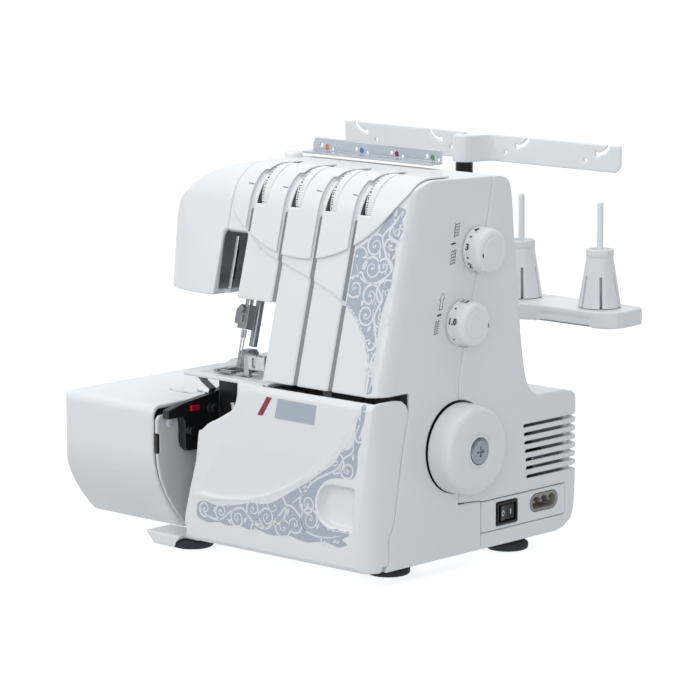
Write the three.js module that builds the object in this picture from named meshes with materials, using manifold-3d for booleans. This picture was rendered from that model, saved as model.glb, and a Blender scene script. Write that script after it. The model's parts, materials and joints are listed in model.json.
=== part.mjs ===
// Four-thread overlock sewing machine (serger).
// Millimetres, +Z up, X to the right as the operator sees it, -Y towards the operator.
// Built about the machine's own datum, then shifted so that the origin is under the middle of its outline, on the table.
import * as THREE from "three";
import { mergeVertices } from "three/addons/utils/BufferGeometryUtils.js";
import Module from "manifold-3d";

const wasm = await Module();
wasm.setup();

// ---------------------------------------------------------------- driving dimensions
const SHIFT = [-4.8, -39.2, 0]; // machine datum -> middle of the outline
const GAP = 0.35; // clearance between touching pieces
const WALL = 3; // moulded shell thickness
const X_LEFT = -157; // left end of the extension block
const X_BLOCK = -61.3; // right end of the extension block
const X_RIGHT = 145; // right side of the tower
const X_TOWER = 38; // left side of the tower
const X_ARM = -17.7; // where the face cover takes over from the arm
const X_HEAD = -82; // left end of the head
const Z_BASE = 10; // underside of the casings
const Z_BED = 126; // sewing surface
const Z_BLOCK = 100; // top of the extension block
const Z_TOP = 270; // top of the tower
const Z_HEAD = 181; // underside of the head
const LEAN = (14.5 * Math.PI) / 180; // lean of the tower front and of the needle mechanism
const CHANNEL_X = [3.2, 35.6, 67.9, 100.2]; // thread channels
const CHANNEL_W = 4.6;
const DIAL_R = 24.4; // tension dials
const DIAL_W = 8.4;
const DIAL_Y = -49.2;
const DIAL_Z = 248;
const WHEEL = { y: -24.5, z: 85.6, r: 31.2, x0: 146.2, x1: 166 };
const KNOB_R = 16;
const KNOBS = [
  { name: "stitch_length_dial", y: -4, z: 219.5 },
  { name: "differential_feed_dial", y: -20.7, z: 171 },
];
const PIN_X = [-111, -37, 37, 111]; // spool pins
const PIN_Y = 170;
const STAND_Z = 156; // top of the spool stand
const POLE = { x: 0, y: 148.5 };
const TREE_Y = 165; // thread bar, above the spool pins
const FEET = [
  ["foot_front_left", -44, -91],
  ["foot_front_right", 116.5, -62.5],
  ["foot_rear_left", -38, 34],
  ["foot_rear_right", 125, 52],
];
const NEEDLE = { x: -9, y: -80.5, z: 127.2 }; // tip of the left needle at rest

// ---------------------------------------------------------------- helpers
const group = new THREE.Group();
const root = new THREE.Group();
root.position.set(...SHIFT);
group.add(root);

const V2 = (p) => new THREE.Vector2(p[0], p[1]);
const basis = (a, b, c) => new THREE.Matrix4().makeBasis(new THREE.Vector3(...a), new THREE.Vector3(...b), new THREE.Vector3(...c));

function solid(geometry) {
  const g = geometry.index ? geometry.toNonIndexed() : geometry.clone();
  g.deleteAttribute("normal");
  g.deleteAttribute("uv");
  const m = mergeVertices(g, 1e-4);
  return new wasm.Manifold(new wasm.Mesh({ numProp: 3, vertProperties: new Float32Array(m.attributes.position.array), triVerts: new Uint32Array(m.index.array) }));
}
function toGeometry(s) {
  const m = s.getMesh();
  const n = m.numProp;
  const v = new Float32Array(m.numVert * 3);
  for (let i = 0; i < m.numVert; i++) v.set(m.vertProperties.subarray(i * n, i * n + 3), i * 3);
  const g = new THREE.BufferGeometry();
  g.setAttribute("position", new THREE.BufferAttribute(v, 3));
  g.setIndex(new THREE.BufferAttribute(new Uint32Array(m.triVerts), 1));
  g.computeVertexNormals();
  return g;
}
function extrude(pts, depth, matrix, holes = []) {
  const shape = new THREE.Shape(pts.map(V2));
  for (const h of holes) shape.holes.push(new THREE.Path(h.map(V2)));
  const g = new THREE.ExtrudeGeometry(shape, { depth, bevelEnabled: false, steps: 1 });
  g.applyMatrix4(matrix);
  return solid(g);
}
// prisms of an outline in YZ along X, in XZ along Y, in XY along Z
const prismX = (pts, x0, x1, holes) => extrude(pts, x1 - x0, new THREE.Matrix4().makeTranslation(x0, 0, 0).multiply(basis([0, 1, 0], [0, 0, 1], [1, 0, 0])), holes);
const prismY = (pts, y0, y1, holes) => extrude(pts, y1 - y0, new THREE.Matrix4().makeTranslation(0, y1, 0).multiply(basis([1, 0, 0], [0, 0, 1], [0, -1, 0])), holes);
const prismZ = (pts, z0, z1, holes) => extrude(pts, z1 - z0, new THREE.Matrix4().makeTranslation(0, 0, z0), holes);
const box = (x0, x1, y0, y1, z0, z1) => {
  const g = new THREE.BoxGeometry(x1 - x0, y1 - y0, z1 - z0);
  g.translate((x0 + x1) / 2, (y0 + y1) / 2, (z0 + z1) / 2);
  return solid(g);
};
// cylinder or cone frustum from point a to point b
function rod(a, b, r, r2 = r, seg = 20) {
  const A = new THREE.Vector3(...a);
  const B = new THREE.Vector3(...b);
  const d = B.clone().sub(A);
  const g = new THREE.CylinderGeometry(r2, r, d.length(), seg);
  g.translate(0, d.length() / 2, 0);
  g.applyQuaternion(new THREE.Quaternion().setFromUnitVectors(new THREE.Vector3(0, 1, 0), d.normalize()));
  g.translate(A.x, A.y, A.z);
  return solid(g);
}
// a turned piece about an axis parallel to X: [distance along X, radius] pairs, starting and ending on the axis
function latheX(profile, y, z, seg = 40) {
  const g = new THREE.LatheGeometry(profile.map(([x, r]) => new THREE.Vector2(r, x)), seg);
  g.applyMatrix4(basis([0, 0, 1], [1, 0, 0], [0, 1, 0]));
  g.translate(0, y, z);
  let s = solid(g);
  return s;
}
function latheZ(profile, x, y, seg = 32) {
  const g = new THREE.LatheGeometry(profile.map(([z, r]) => new THREE.Vector2(r, z)), seg);
  g.rotateX(Math.PI / 2);
  g.translate(x, y, 0);
  return solid(g);
}
const arc = (cx, cy, r, a0, a1, n) => Array.from({ length: n + 1 }, (_, i) => {
  const a = ((a0 + ((a1 - a0) * i) / n) * Math.PI) / 180;
  return [cx + r * Math.cos(a), cy + r * Math.sin(a)];
});
const rounded = (x0, x1, y0, y1, r, n = 4) => [...arc(x1 - r, y0 + r, r, -90, 0, n), ...arc(x1 - r, y1 - r, r, 0, 90, n), ...arc(x0 + r, y1 - r, r, 90, 180, n), ...arc(x0 + r, y0 + r, r, 180, 270, n)];
const circle = (cx, cy, r, n = 24) => arc(cx, cy, r, 0, 360, n).slice(0, n);
// a smooth line through points, n steps between each pair; before and after give the directions at its ends
function curved(pts, n, before, after) {
  const all = [before, ...pts, after];
  const out = [];
  for (let i = 1; i < all.length - 2; i++) {
    const [p0, p1, p2, p3] = [all[i - 1], all[i], all[i + 1], all[i + 2]];
    for (let k = 0; k < n; k++) {
      const t = k / n;
      out.push([0, 1].map((j) => 0.5 * (2 * p1[j] + (p2[j] - p0[j]) * t + (2 * p0[j] - 5 * p1[j] + 4 * p2[j] - p3[j]) * t * t + (-p0[j] + 3 * p1[j] - 3 * p2[j] + p3[j]) * t ** 3)));
    }
  }
  out.push(pts[pts.length - 1]);
  return out;
}
// the same line moved sideways by d, to its left when walked from start to end
function offsetLine(pts, d) {
  return pts.map((p, i) => {
    const a = pts[Math.max(0, i - 1)];
    const b = pts[Math.min(pts.length - 1, i + 1)];
    const l = Math.hypot(b[0] - a[0], b[1] - a[1]);
    return [p[0] - ((b[1] - a[1]) / l) * d, p[1] + ((b[0] - a[0]) / l) * d];
  });
}
const moved = (s, dx, dy, dz) => s.translate([dx, dy, dz]);

const PALETTE = {
  white: [0xe6e8ea, 0.32, 0.0],
  side: [0xc9ccd0, 0.42, 0.0],
  grey: [0x8d9296, 0.45, 0.0],
  black: [0x17181a, 0.45, 0.0],
  rubber: [0x3b3d40, 0.85, 0.0],
  steel: [0xb4b7ba, 0.3, 1.0],
  chrome: [0xd4d7da, 0.12, 1.0],
  cast: [0x9a9c9e, 0.6, 0.8],
  red: [0xc1173a, 0.35, 0.0],
  copper: [0x6e6f72, 0.5, 0.7],
};
function add(name, s, material) {
  const [color, roughness, metalness] = PALETTE[material];
  const mesh = new THREE.Mesh(toGeometry(s), new THREE.MeshStandardMaterial({ color, roughness, metalness }));
  mesh.name = name;
  root.add(mesh);
  return s;
}

// ---------------------------------------------------------------- outlines in YZ
// front of the tower: leans back, then rolls over into the top
const FRONT_ROLL = curved([[-75.6, 245], [-73.4, 251.5], [-69.5, 258.5], [-63.5, 264.6], [-56, 268.6], [-47, 270.2]], 3, [-77.4, 238], [-38, 269.9]);
const FRONT = [[-105.5, Z_BED + 3], [-92.3, 181], [-83.2, 215], ...FRONT_ROLL];
const TOP_REAR = curved([[13.3, 268.2], [24, 266.8], [29.5, 263.5], [31.8, 258.2]], 3, [3, 268.55], [33.2, 250]);
const REAR = [[33.2, 250], [35.6, 222], [39.5, 188], [42.6, 156.5], [46, 134]];
const BOX_TOP = [...curved([[48.5, 124.5], [52.4, 116.4], [60.2, 111]], 3, [46.6, 131], [70, 110.6]), ...curved([[89.4, 110.1], [99.2, 108.2], [105.4, 102.5], [107.4, 93]], 3, [80, 110.4], [107, 84])];
const BOX_REAR = [[106, 66], [104.2, 45], [101.6, 25], [98, 16.6], [90, 11.8], [82, Z_BASE]];
const SPLIT = [[13.3, 268.2], [5.6, 233.4], [-3.6, 203.1], [-10.5, 180.4], [-17.2, 154.4], [-22.3, 131.7], [-22.3, 118.2]];
const shift = (pts, dy, dz = 0) => pts.map(([y, z]) => [y + dy, z + dz]);
const cutAbove = (pts, z) => pts.filter((p) => p[1] > z);

// ---------------------------------------------------------------- base and feet
{
  // tray under the casings; its front left corner comes down beside the foot
  let t = prismZ([...arc(-49.5, -92, 8, 180, 270, 4), [-30, -100], [-28, -93.6], ...arc(122, -84.6, 9, -90, 0, 4), ...arc(122, 72, 9, 0, 90, 4), [38, 81], [38, 50], [-50, 50], [-57.5, 42]], 6.5, 9.7);
  t = t.add(prismY([[-66, 0.8], [-45, 0.8], [-41, 9.7], [-76, 9.7]], -107.5, -82));
  t = t.subtract(rod([-44, -91, -1], [-44, -91, 6.5], 15.5, 15.5, 28));
  add("base_tray", t, "white");
}
for (const [name, x, y] of FEET) add(name, latheZ([[0, 0], [0, 13.6], [1.2, 15], [4.6, 15], [6.1, 12.6], [6.1, 0]], x, y, 24), "rubber");

// ---------------------------------------------------------------- frame inside
{
  const shaftHole = (x0, x1) => rod([x0, WHEEL.y, WHEEL.z], [x1, WHEEL.y, WHEEL.z], 6.2, 6.2, 20);
  let f = box(-40, 136, -51.8, 36, 14, 22).add(box(-38, 134, -51.8, -6, 10.05, 14.5));
  f = f.add(box(118, 126, -51.8, 18, 20, 206).subtract(shaftHole(117, 127)).subtract(box(117, 127, -56, -38, 150, 207)).subtract(box(117, 127, -12, 19, 150, 207)));
  f = f.add(box(4, 12, -51.8, 18, 20, 112).subtract(shaftHole(3, 13)));
  f = f.add(box(46, 54, -51.8, -8, 20, 206).subtract(shaftHole(45, 55)));
  f = f.add(box(-15, 126, -33, -12, 196, 206));
  add("machine_frame", f, "cast");
}

// ---------------------------------------------------------------- casings
const frontOuter = [...FRONT, ...SPLIT.slice(0, 6), [-22.3, Z_BED + 3]];
const frontInner = [[-101.8, Z_BED + 2], [-89, 181], [-79.9, 215], [-72.4, 245], [-70.3, 250.5], [-66.8, 256.4], [-61.6, 261.6], [-55, 265.2], [-47, 267], [20, 264.5], [20, Z_BED + 2]];
const dialSlots = () => {
  let s = null;
  for (const x of CHANNEL_X) {
    const one = box(x + CHANNEL_W / 2 - 1, x + CHANNEL_W / 2 + 11.2, -80, -27.5, 246.5, 280);
    s = s ? s.add(one) : one;
  }
  return s;
};
const SHIELD = { x: 54, z: 313, r: 100 };
const channels = (d, z0) => {
  let s = null;
  for (const [i, x] of CHANNEL_X.entries()) {
    const zb = i === 0 ? 226 : z0; // the first channel stops at the needle slot
    const one = prismX([[-130, zb], [-105.5 + d + (zb - 129) * 0.2585, zb], [-75.6 + d, 245], [-73.4 + d * 0.95, 251.5 - d * 0.2], [-69.5 + d * 0.85, 258.5 - d * 0.5], [-63.5 + d * 0.7, 264.6 - d * 0.7], [-56 + d * 0.5, 268.6 - d * 0.85], [-47 + d * 0.2, 270.2 - d], [-30, 270.4 - d], [-30, 290], [-130, 290]], x - CHANNEL_W / 2, x + CHANNEL_W / 2);
    s = s ? s.add(one) : one;
  }
  return s;
};
{
  let f = prismX(frontOuter, X_TOWER, X_RIGHT).add(prismX([...cutAbove(FRONT, 180), ...SPLIT.slice(0, 4)].map(([y, z]) => [y, z]), X_ARM, X_TOWER + 1));
  // round the two upright front corners of the tower
  f = f.subtract(box(X_RIGHT - 14, X_RIGHT + 1, -130, -40, 120, 290).subtract(prismX(shift(FRONT, 14).concat([[60, 270.2], [60, 129]]).map(([y, z]) => [y, z]), X_RIGHT - 15, X_RIGHT + 2)).intersect(cornerCut()));
  let inner = prismX(frontInner, X_TOWER + WALL, X_RIGHT - WALL).add(prismX([[-88.2, 184], [-79.9, 215], [-72.4, 245], [-70.3, 250.5], [-66.8, 256.4], [-61.6, 261.6], [-55, 265.2], [-47, 267], [20, 264.5], [20, 184]], X_ARM - 1, X_TOWER + 5));
  inner = inner.subtract(cornerKeep());
  f = f.subtract(inner);
  f = f.subtract(dialSlots());
  for (const x of CHANNEL_X) f = f.subtract(box(x + CHANNEL_W / 2 - 1, x + CHANNEL_W / 2 + 11.2, -74.2, -60, 234, 250));
  f = f.subtract(channels(1.8, 128));
  // lower side wall, down to the base
  const side = prismX([[-72.5, 129.5], [-72.5, 117], [-78.5, 90], [-81.5, 75], [-87, 43], [-92.5, 32], [-92.2, 18], [-93, 14.6], [-95.5, 12.2], [-96, 11.5], [-96, Z_BASE], [1.2, Z_BASE], [1.2, 44], [-22.3, 45.7], [-22.3, 129.5]], X_RIGHT - WALL, X_RIGHT);
  f = f.add(side);
  f = f.subtract(rod([X_RIGHT - 5, WHEEL.y, WHEEL.z], [X_RIGHT + 2, WHEEL.y, WHEEL.z], 22, 22, 32));
  for (const k of KNOBS) f = f.subtract(rod([X_RIGHT - 5, k.y, k.z], [X_RIGHT + 2, k.y, k.z], 4.4, 4.4, 20));
  // needle slot beside the face cover, and the mouth under the arm
  f = f.subtract(box(X_ARM - 1, 1.6, -100, -78.5, 170, 226)).subtract(box(X_ARM - 1, 8, -84, -44, 178, 186)).subtract(box(16.5, 25, -58, -32, 178, 186));
  f = f.subtract(prismX([...SPLIT, [-22.3, 0], [140, 0], [140, 300], [13.3, 300]], X_ARM - 2, X_RIGHT + 1).subtract(box(X_RIGHT - WALL - 0.5, X_RIGHT + 1, -22.4, 1.2, 0, 45)));
  add("front_casing", f, "white");
}
function cornerCut() {
  // everything outside the plan's rounded right front corner
  return prismX([[-140, 120], [-30, 120], [-30, 290], [-140, 290]], X_RIGHT - 14, X_RIGHT + 2).subtract(cornerRound(0));
}
function cornerKeep() {
  return prismX([[-140, 120], [-30, 120], [-30, 290], [-140, 290]], X_RIGHT - 17, X_RIGHT + 2).subtract(cornerRound(3.2));
}
function cornerRound(inset) {
  // a leaning cylinder along the right front edge, joined to slabs on both sides
  const r = 15 - inset;
  const low = [X_RIGHT - 15, -105.5 + 15.4 - (129 - 100) * 0.2585, 100];
  const high = [X_RIGHT - 15, -105.5 + 15.4 + (300 - 129) * 0.2585, 300];
  const c = rod(low, high, r, r, 24);
  const slab = prismX([[low[1], 100], [60, 100], [60, 300], [high[1], 300]], X_RIGHT - 18, X_RIGHT - inset);
  const front = prismX([[low[1] - r - 0.1 * r, 100], [60, 100], [60, 300], [high[1] - r - 0.1 * r, 300]], X_RIGHT - 40, X_RIGHT - 15);
  return c.add(slab).add(front);
}
{
  // rear casing: back of the tower and arm, and the motor box
  const G = GAP;
  const rearUpper = [...shift(SPLIT.slice(0, 7).reverse(), G), ...TOP_REAR.slice(1), ...REAR, ...BOX_TOP, ...BOX_REAR, [1.2 + G, Z_BASE], [1.2 + G, 44 + G], [-22.3 + G, 45.7 + G]];
  let r = prismX(rearUpper, X_TOWER, X_RIGHT);
  r = r.add(prismX([...shift(SPLIT.slice(0, 4).reverse(), G), ...TOP_REAR.slice(1), [33.2, 250], [35.6, 222], [40.2, 181]], X_ARM, X_TOWER + 1));
  const inner = [[-60, 13], [82, 13], [89, 14.8], [95.6, 19], [98.4, 26], [101.2, 46], [103, 66], [104.2, 92], [102.2, 101.2], [97.6, 105.3], [89, 107.1], [60.6, 108], [50, 114.5], [45.5, 124], [42.9, 134], [39.5, 156.5], [36.5, 188], [32.6, 222], [30.2, 250], [28.8, 257.6], [27.3, 261.2], [23, 263.8], [13.3, 265.2], [-60, 267]];
  r = r.subtract(prismX(inner, X_TOWER + WALL, X_RIGHT - WALL).subtract(box(X_RIGHT - 9, X_RIGHT, 94, 112, 0, 116)));
  r = r.subtract(box(X_RIGHT - 8, X_RIGHT + 1, 99.4, 112, 0, 116).subtract(rod([X_RIGHT - 8, 99.4, -1], [X_RIGHT - 8, 99.4, 117], 8.03, 8.03, 28)));
  r = r.subtract(prismX([[-60, 184], [36.8, 184], [32.6, 222], [30.2, 250], [28.8, 257.6], [27.3, 261.2], [23, 263.8], [13.3, 265.2], [-60, 267]], X_ARM - 1, X_TOWER + 5));
  r = r.subtract(rod([X_RIGHT - 5, WHEEL.y, WHEEL.z], [X_RIGHT + 2, WHEEL.y, WHEEL.z], 22, 22, 32));
  for (const k of KNOBS) r = r.subtract(rod([X_RIGHT - 5, k.y, k.z], [X_RIGHT + 2, k.y, k.z], 4.4, 4.4, 20));
  for (let i = 0; i < 7; i++) {
    const z = 90 - i * 6.05;
    r = r.subtract(box(X_RIGHT - 5, X_RIGHT + 2, 46 + i * 0.6, 110, z - 1.1, z + 1.1)).subtract(box(X_RIGHT - 8, X_RIGHT - 2, 98, 110, z - 1.1, z + 1.1));
  }
  r = r.subtract(box(X_RIGHT - 5, X_RIGHT + 2, 0.5, 92, 21, 43.4));
  r = r.subtract(box(X_TOWER - 1, X_TOWER + WALL + 1, -60, 49, 13, 121)); // passage to the bed
  add("rear_casing", r, "white");
}
// panel with the switch and the socket
{
  let p = prismX([[2, 21.4], [91.6, 21.4], [91.6, 43], [2, 43]], X_RIGHT - 3.2, X_RIGHT - 0.2);
  p = p.subtract(box(X_RIGHT - 5, X_RIGHT + 2, 17.2, 40, 23.8, 40.4));
  p = p.subtract(prismX([...arc(77.6, 33.8, 6.6, -90, 90, 8), ...arc(60, 33.8, 6.6, 90, 270, 8)], X_RIGHT - 5, X_RIGHT + 2));
  add("electrical_panel", p, "white");
  add("switch_bezel", prismX([[17.6, 24.2], [39.6, 24.2], [39.6, 40], [17.6, 40]], X_RIGHT - 10, X_RIGHT + 0.5, [[[19.4, 26], [19.4, 38.2], [37.8, 38.2], [37.8, 26]]]), "black");
  add("power_switch", rocker(28.6, X_RIGHT - 5.4), "black");
  const oval = (r) => [...arc(77.6, 33.8, r, -90, 90, 8), ...arc(60, 33.8, r, 90, 270, 8)];
  let inlet = prismX(oval(6.2), X_RIGHT - 16, X_RIGHT - 0.4).subtract(box(X_RIGHT - 12, X_RIGHT + 1, 57.6, 80, 29.4, 33.8));
  for (const y of [60.6, 68.8, 77]) inlet = inlet.subtract(rod([X_RIGHT - 12, y, 33.8], [X_RIGHT + 1, y, 33.8], 4.3, 4.3, 20));
  for (const y of [60.6, 68.8, 77]) inlet = inlet.add(rod([X_RIGHT - 13, y, 33.8], [X_RIGHT - 3, y, 33.8], 1.5, 1.5, 10));
  add("power_inlet", inlet, "grey");
}
// rocker: a block with a shallow V face, resting on its rear end, rocking about an upright axis
function rocker(y, x) {
  return prismZ([[x - 3.4, y - 7.4], [x + 5.6, y - 8.2], [x + 4.2, y], [x + 5.6, y + 8.2], [x - 3.4, y + 7.4]], 26.5, 37.7).translate([-x, -y, 0]).rotate([0, 0, 6]).translate([x, y, 0]);
}

// face cover: rounded left end of the head
// leans an upright prism with the front; the lean dies out towards the left end
const leaned = (s) => s.warp((v) => {
  const k = Math.tan(LEAN) - (Math.tan(LEAN) - 0.09) * Math.min(1, Math.max(0, (-40 - v[0]) / 37));
  v[1] += k * (v[2] - Z_HEAD);
});
{
  const outer = (g) => [[X_HEAD + 1.2 + g, Z_HEAD + g], ...curved([[X_HEAD - 0.2 + g, 188], [X_HEAD + 1.6 + g, 206], [X_HEAD + 5 + g, 223], [X_HEAD + 11 + g, 239], [X_HEAD + 21 + g * 0.8, 252.4 - g * 0.6], [X_HEAD + 33 + g * 0.5, 262 - g * 0.9], [X_HEAD + 48, 268.2 - g], [X_HEAD + 60, 270.2 - g]], 3, [X_HEAD - 0.6 + g, 180], [X_HEAD + 72, 270.3 - g]), [X_ARM + 2, 270.2 - g], [X_ARM + 2, Z_HEAD + g]];
  const side = [...cutAbove(FRONT, 180.9), [13.3, 268.2], ...TOP_REAR.slice(1), [33.2, 250], [35.6, 222], [40.2, 181]];
  const inSide = [[-88.2, 170], [-79.9, 215], [-72.4, 245], [-70.3, 250.5], [-66.8, 256.4], [-61.6, 261.6], [-55, 265.2], [-47, 267], [13.3, 265.2], [23, 263.8], [27.3, 261.2], [28.8, 257.6], [30.2, 250], [32.6, 222], [37.2, 184], [37.2, 170]];
  let c = prismX(side, X_HEAD - 2, X_ARM - GAP).intersect(prismY(outer(0), -120, 60));
  // the front turns back towards the left end
  c = c.subtract(leaned(prismZ([[X_HEAD - 5, -140], [-30, -140], ...curved([[-30, -92.6], [-41, -91.9], [-52, -90.2], [-61, -87.4], [-68.6, -83.2], [-76.4, -75.4], [X_HEAD + 0.5, -64]], 3, [-20, -92.7], [X_HEAD - 0.5, -52]), [X_HEAD - 5, -64]], 150, 300)));
  const inner = prismX(inSide, X_HEAD - 2, X_ARM + 3).intersect(prismY(outer(3.2), -120, 60)).subtract(box(-95, X_ARM + 3, -95, 60, 170, 184).subtract(box(-60, X_ARM + 3, -82, -10, 169, 185)));
  c = c.subtract(inner.subtract(leaned(prismZ([[X_HEAD - 5, -140], [-30, -140], [-30, -89], [-41, -88.2], [-52, -86.6], [-60, -84], [-66, -81], [-74, -72], [X_HEAD + 4, -62], [X_HEAD - 5, -60]], 150, 300))));
  c = c.subtract(box(-21, X_ARM + 1, -100, -78.5, 170, 226));
  c = c.subtract(box(-33, -23, 2, 45, 170, 204)); // slot of the lifter lever
  c = c.subtract(rod([-33, 2, 262], [-33, 2, 280], 7, 7, 24)); // seat of the pressure dial
  add("face_cover", c, "white");
}
// tension cover: raised shield around the dials
{
  const over = [[-84.21, 211], ...FRONT_ROLL, [-27, 269.54]];
  const proud = [...offsetLine(over, 1.7), ...offsetLine(over, 0.35).reverse()];
  let t = prismX(proud, -14, 141);
  t = t.intersect(prismY([...arc(SHIELD.x, SHIELD.z, SHIELD.r, 227.2, 329.9, 36), [140.5, 300], [-14, 300]], -120, 0));
  t = t.subtract(dialSlots());
  add("tension_cover", t.subtract(channelsProud()), "white");
}
function channelsProud() {
  // the channels are open at the cover's front but bridged at its very edge, so it stays one piece along the top
  let s = null;
  for (const x of CHANNEL_X) {
    const one = box(x - CHANNEL_W / 2, x + CHANNEL_W / 2, -120, -60, 200, 268);
    s = s ? s.add(one) : one;
  }
  return s;
}

// ---------------------------------------------------------------- dials
for (const [i, x] of CHANNEL_X.entries()) {
  const name = ["left_needle_tension_dial", "right_needle_tension_dial", "upper_looper_tension_dial", "lower_looper_tension_dial"][i];
  const x0 = x + CHANNEL_W / 2 + 2.2;
  add(name, latheX([[x0, 0], [x0, DIAL_R - 1], [x0 + 0.8, DIAL_R], [x0 + DIAL_W - 0.8, DIAL_R], [x0 + DIAL_W, DIAL_R - 1], [x0 + DIAL_W, 0]], DIAL_Y, DIAL_Z, 30), "white");
}
for (const k of KNOBS) add(k.name, latheX([[X_RIGHT - 12, 0], [X_RIGHT - 12, 3.6], [X_RIGHT + 0.9, 3.6], [X_RIGHT + 0.9, KNOB_R], [X_RIGHT + 11, KNOB_R - 0.4], [X_RIGHT + 14, KNOB_R - 2.2], [X_RIGHT + 15.2, KNOB_R - 5.2], [X_RIGHT + 14.6, 0]], k.y, k.z, 24), "white");

// ---------------------------------------------------------------- drive
add("handwheel", latheX([[WHEEL.x0 - 3.4, 5.5], [WHEEL.x0 - 3.4, 18], [WHEEL.x0, 18], [WHEEL.x0, WHEEL.r], [WHEEL.x1 - 6.5, WHEEL.r - 0.4], [WHEEL.x1 - 2.6, WHEEL.r - 2.2], [WHEEL.x1 - 0.4, WHEEL.r - 6.4], [WHEEL.x1, WHEEL.r - 12], [WHEEL.x1, 9.5], [WHEEL.x1 - 2, 9.5], [WHEEL.x1 - 2, 5.5], [WHEEL.x0 - 3.4, 5.5]], WHEEL.y, WHEEL.z, 36), "white");
add("handwheel_screw", latheX([[WHEEL.x1 - 1.6, 0], [WHEEL.x1 - 1.6, 9], [WHEEL.x1 - 0.2, 9], [WHEEL.x1 + 0.6, 7.8], [WHEEL.x1 + 0.6, 0]], WHEEL.y, WHEEL.z, 28), "steel");
add("main_shaft", latheX([[-12, 0], [-12, 5], [20, 5], [20, 9], [28, 9], [28, 5], [66, 5], [66, 9], [74, 9], [74, 5], [130, 5], [130, 22], [131.5, 22], [131.5, 20], [137.5, 20], [137.5, 22], [139, 22], [139, 5], [WHEEL.x1 - 3, 5], [WHEEL.x1 - 3, 0]], WHEEL.y, WHEEL.z, 20), "steel");
const MOTOR = { y: 70, z: 62 };
add("motor", rod([44, MOTOR.y, MOTOR.z], [112, MOTOR.y, MOTOR.z], 25, 25, 28).add(rod([41.6, MOTOR.y, MOTOR.z], [45, MOTOR.y, MOTOR.z], 9, 9, 16)).add(box(56, 100, 52, 82, 14, 44)).add(box(56, 100, 37, 60, 14, 21)).subtract(rod([37, MOTOR.y, MOTOR.z], [113, MOTOR.y, MOTOR.z], 2.6, 2.6, 12)), "copper");
add("motor_pulley", latheX([[48, 0], [48, 2.2], [130, 2.2], [130, 8], [131.5, 8], [131.5, 6], [137.5, 6], [137.5, 8], [139, 8], [139, 0]], MOTOR.y, MOTOR.z, 20), "steel");
{
  // belt: a closed loop round both pulleys, each on its tangent arc
  const d = Math.hypot(MOTOR.y - WHEEL.y, MOTOR.z - WHEEL.z);
  const dir = Math.atan2(MOTOR.z - WHEEL.z, MOTOR.y - WHEEL.y);
  const loop = (grow) => {
    const R = 20.4 + grow;
    const r = 6.4 + grow;
    const b = Math.acos((R - r) / d);
    const pts = [];
    for (let i = 0; i <= 24; i++) {
      const a = dir + b + ((2 * Math.PI - 2 * b) * i) / 24;
      pts.push([WHEEL.y + R * Math.cos(a), WHEEL.z + R * Math.sin(a)]);
    }
    for (let i = 0; i <= 10; i++) {
      const a = dir - b + (2 * b * i) / 10;
      pts.push([MOTOR.y + r * Math.cos(a), MOTOR.z + r * Math.sin(a)]);
    }
    return pts;
  };
  add("drive_belt", prismX(loop(2.2), 132, 137).subtract(prismX(loop(0), 131, 138)), "rubber");
}

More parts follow.
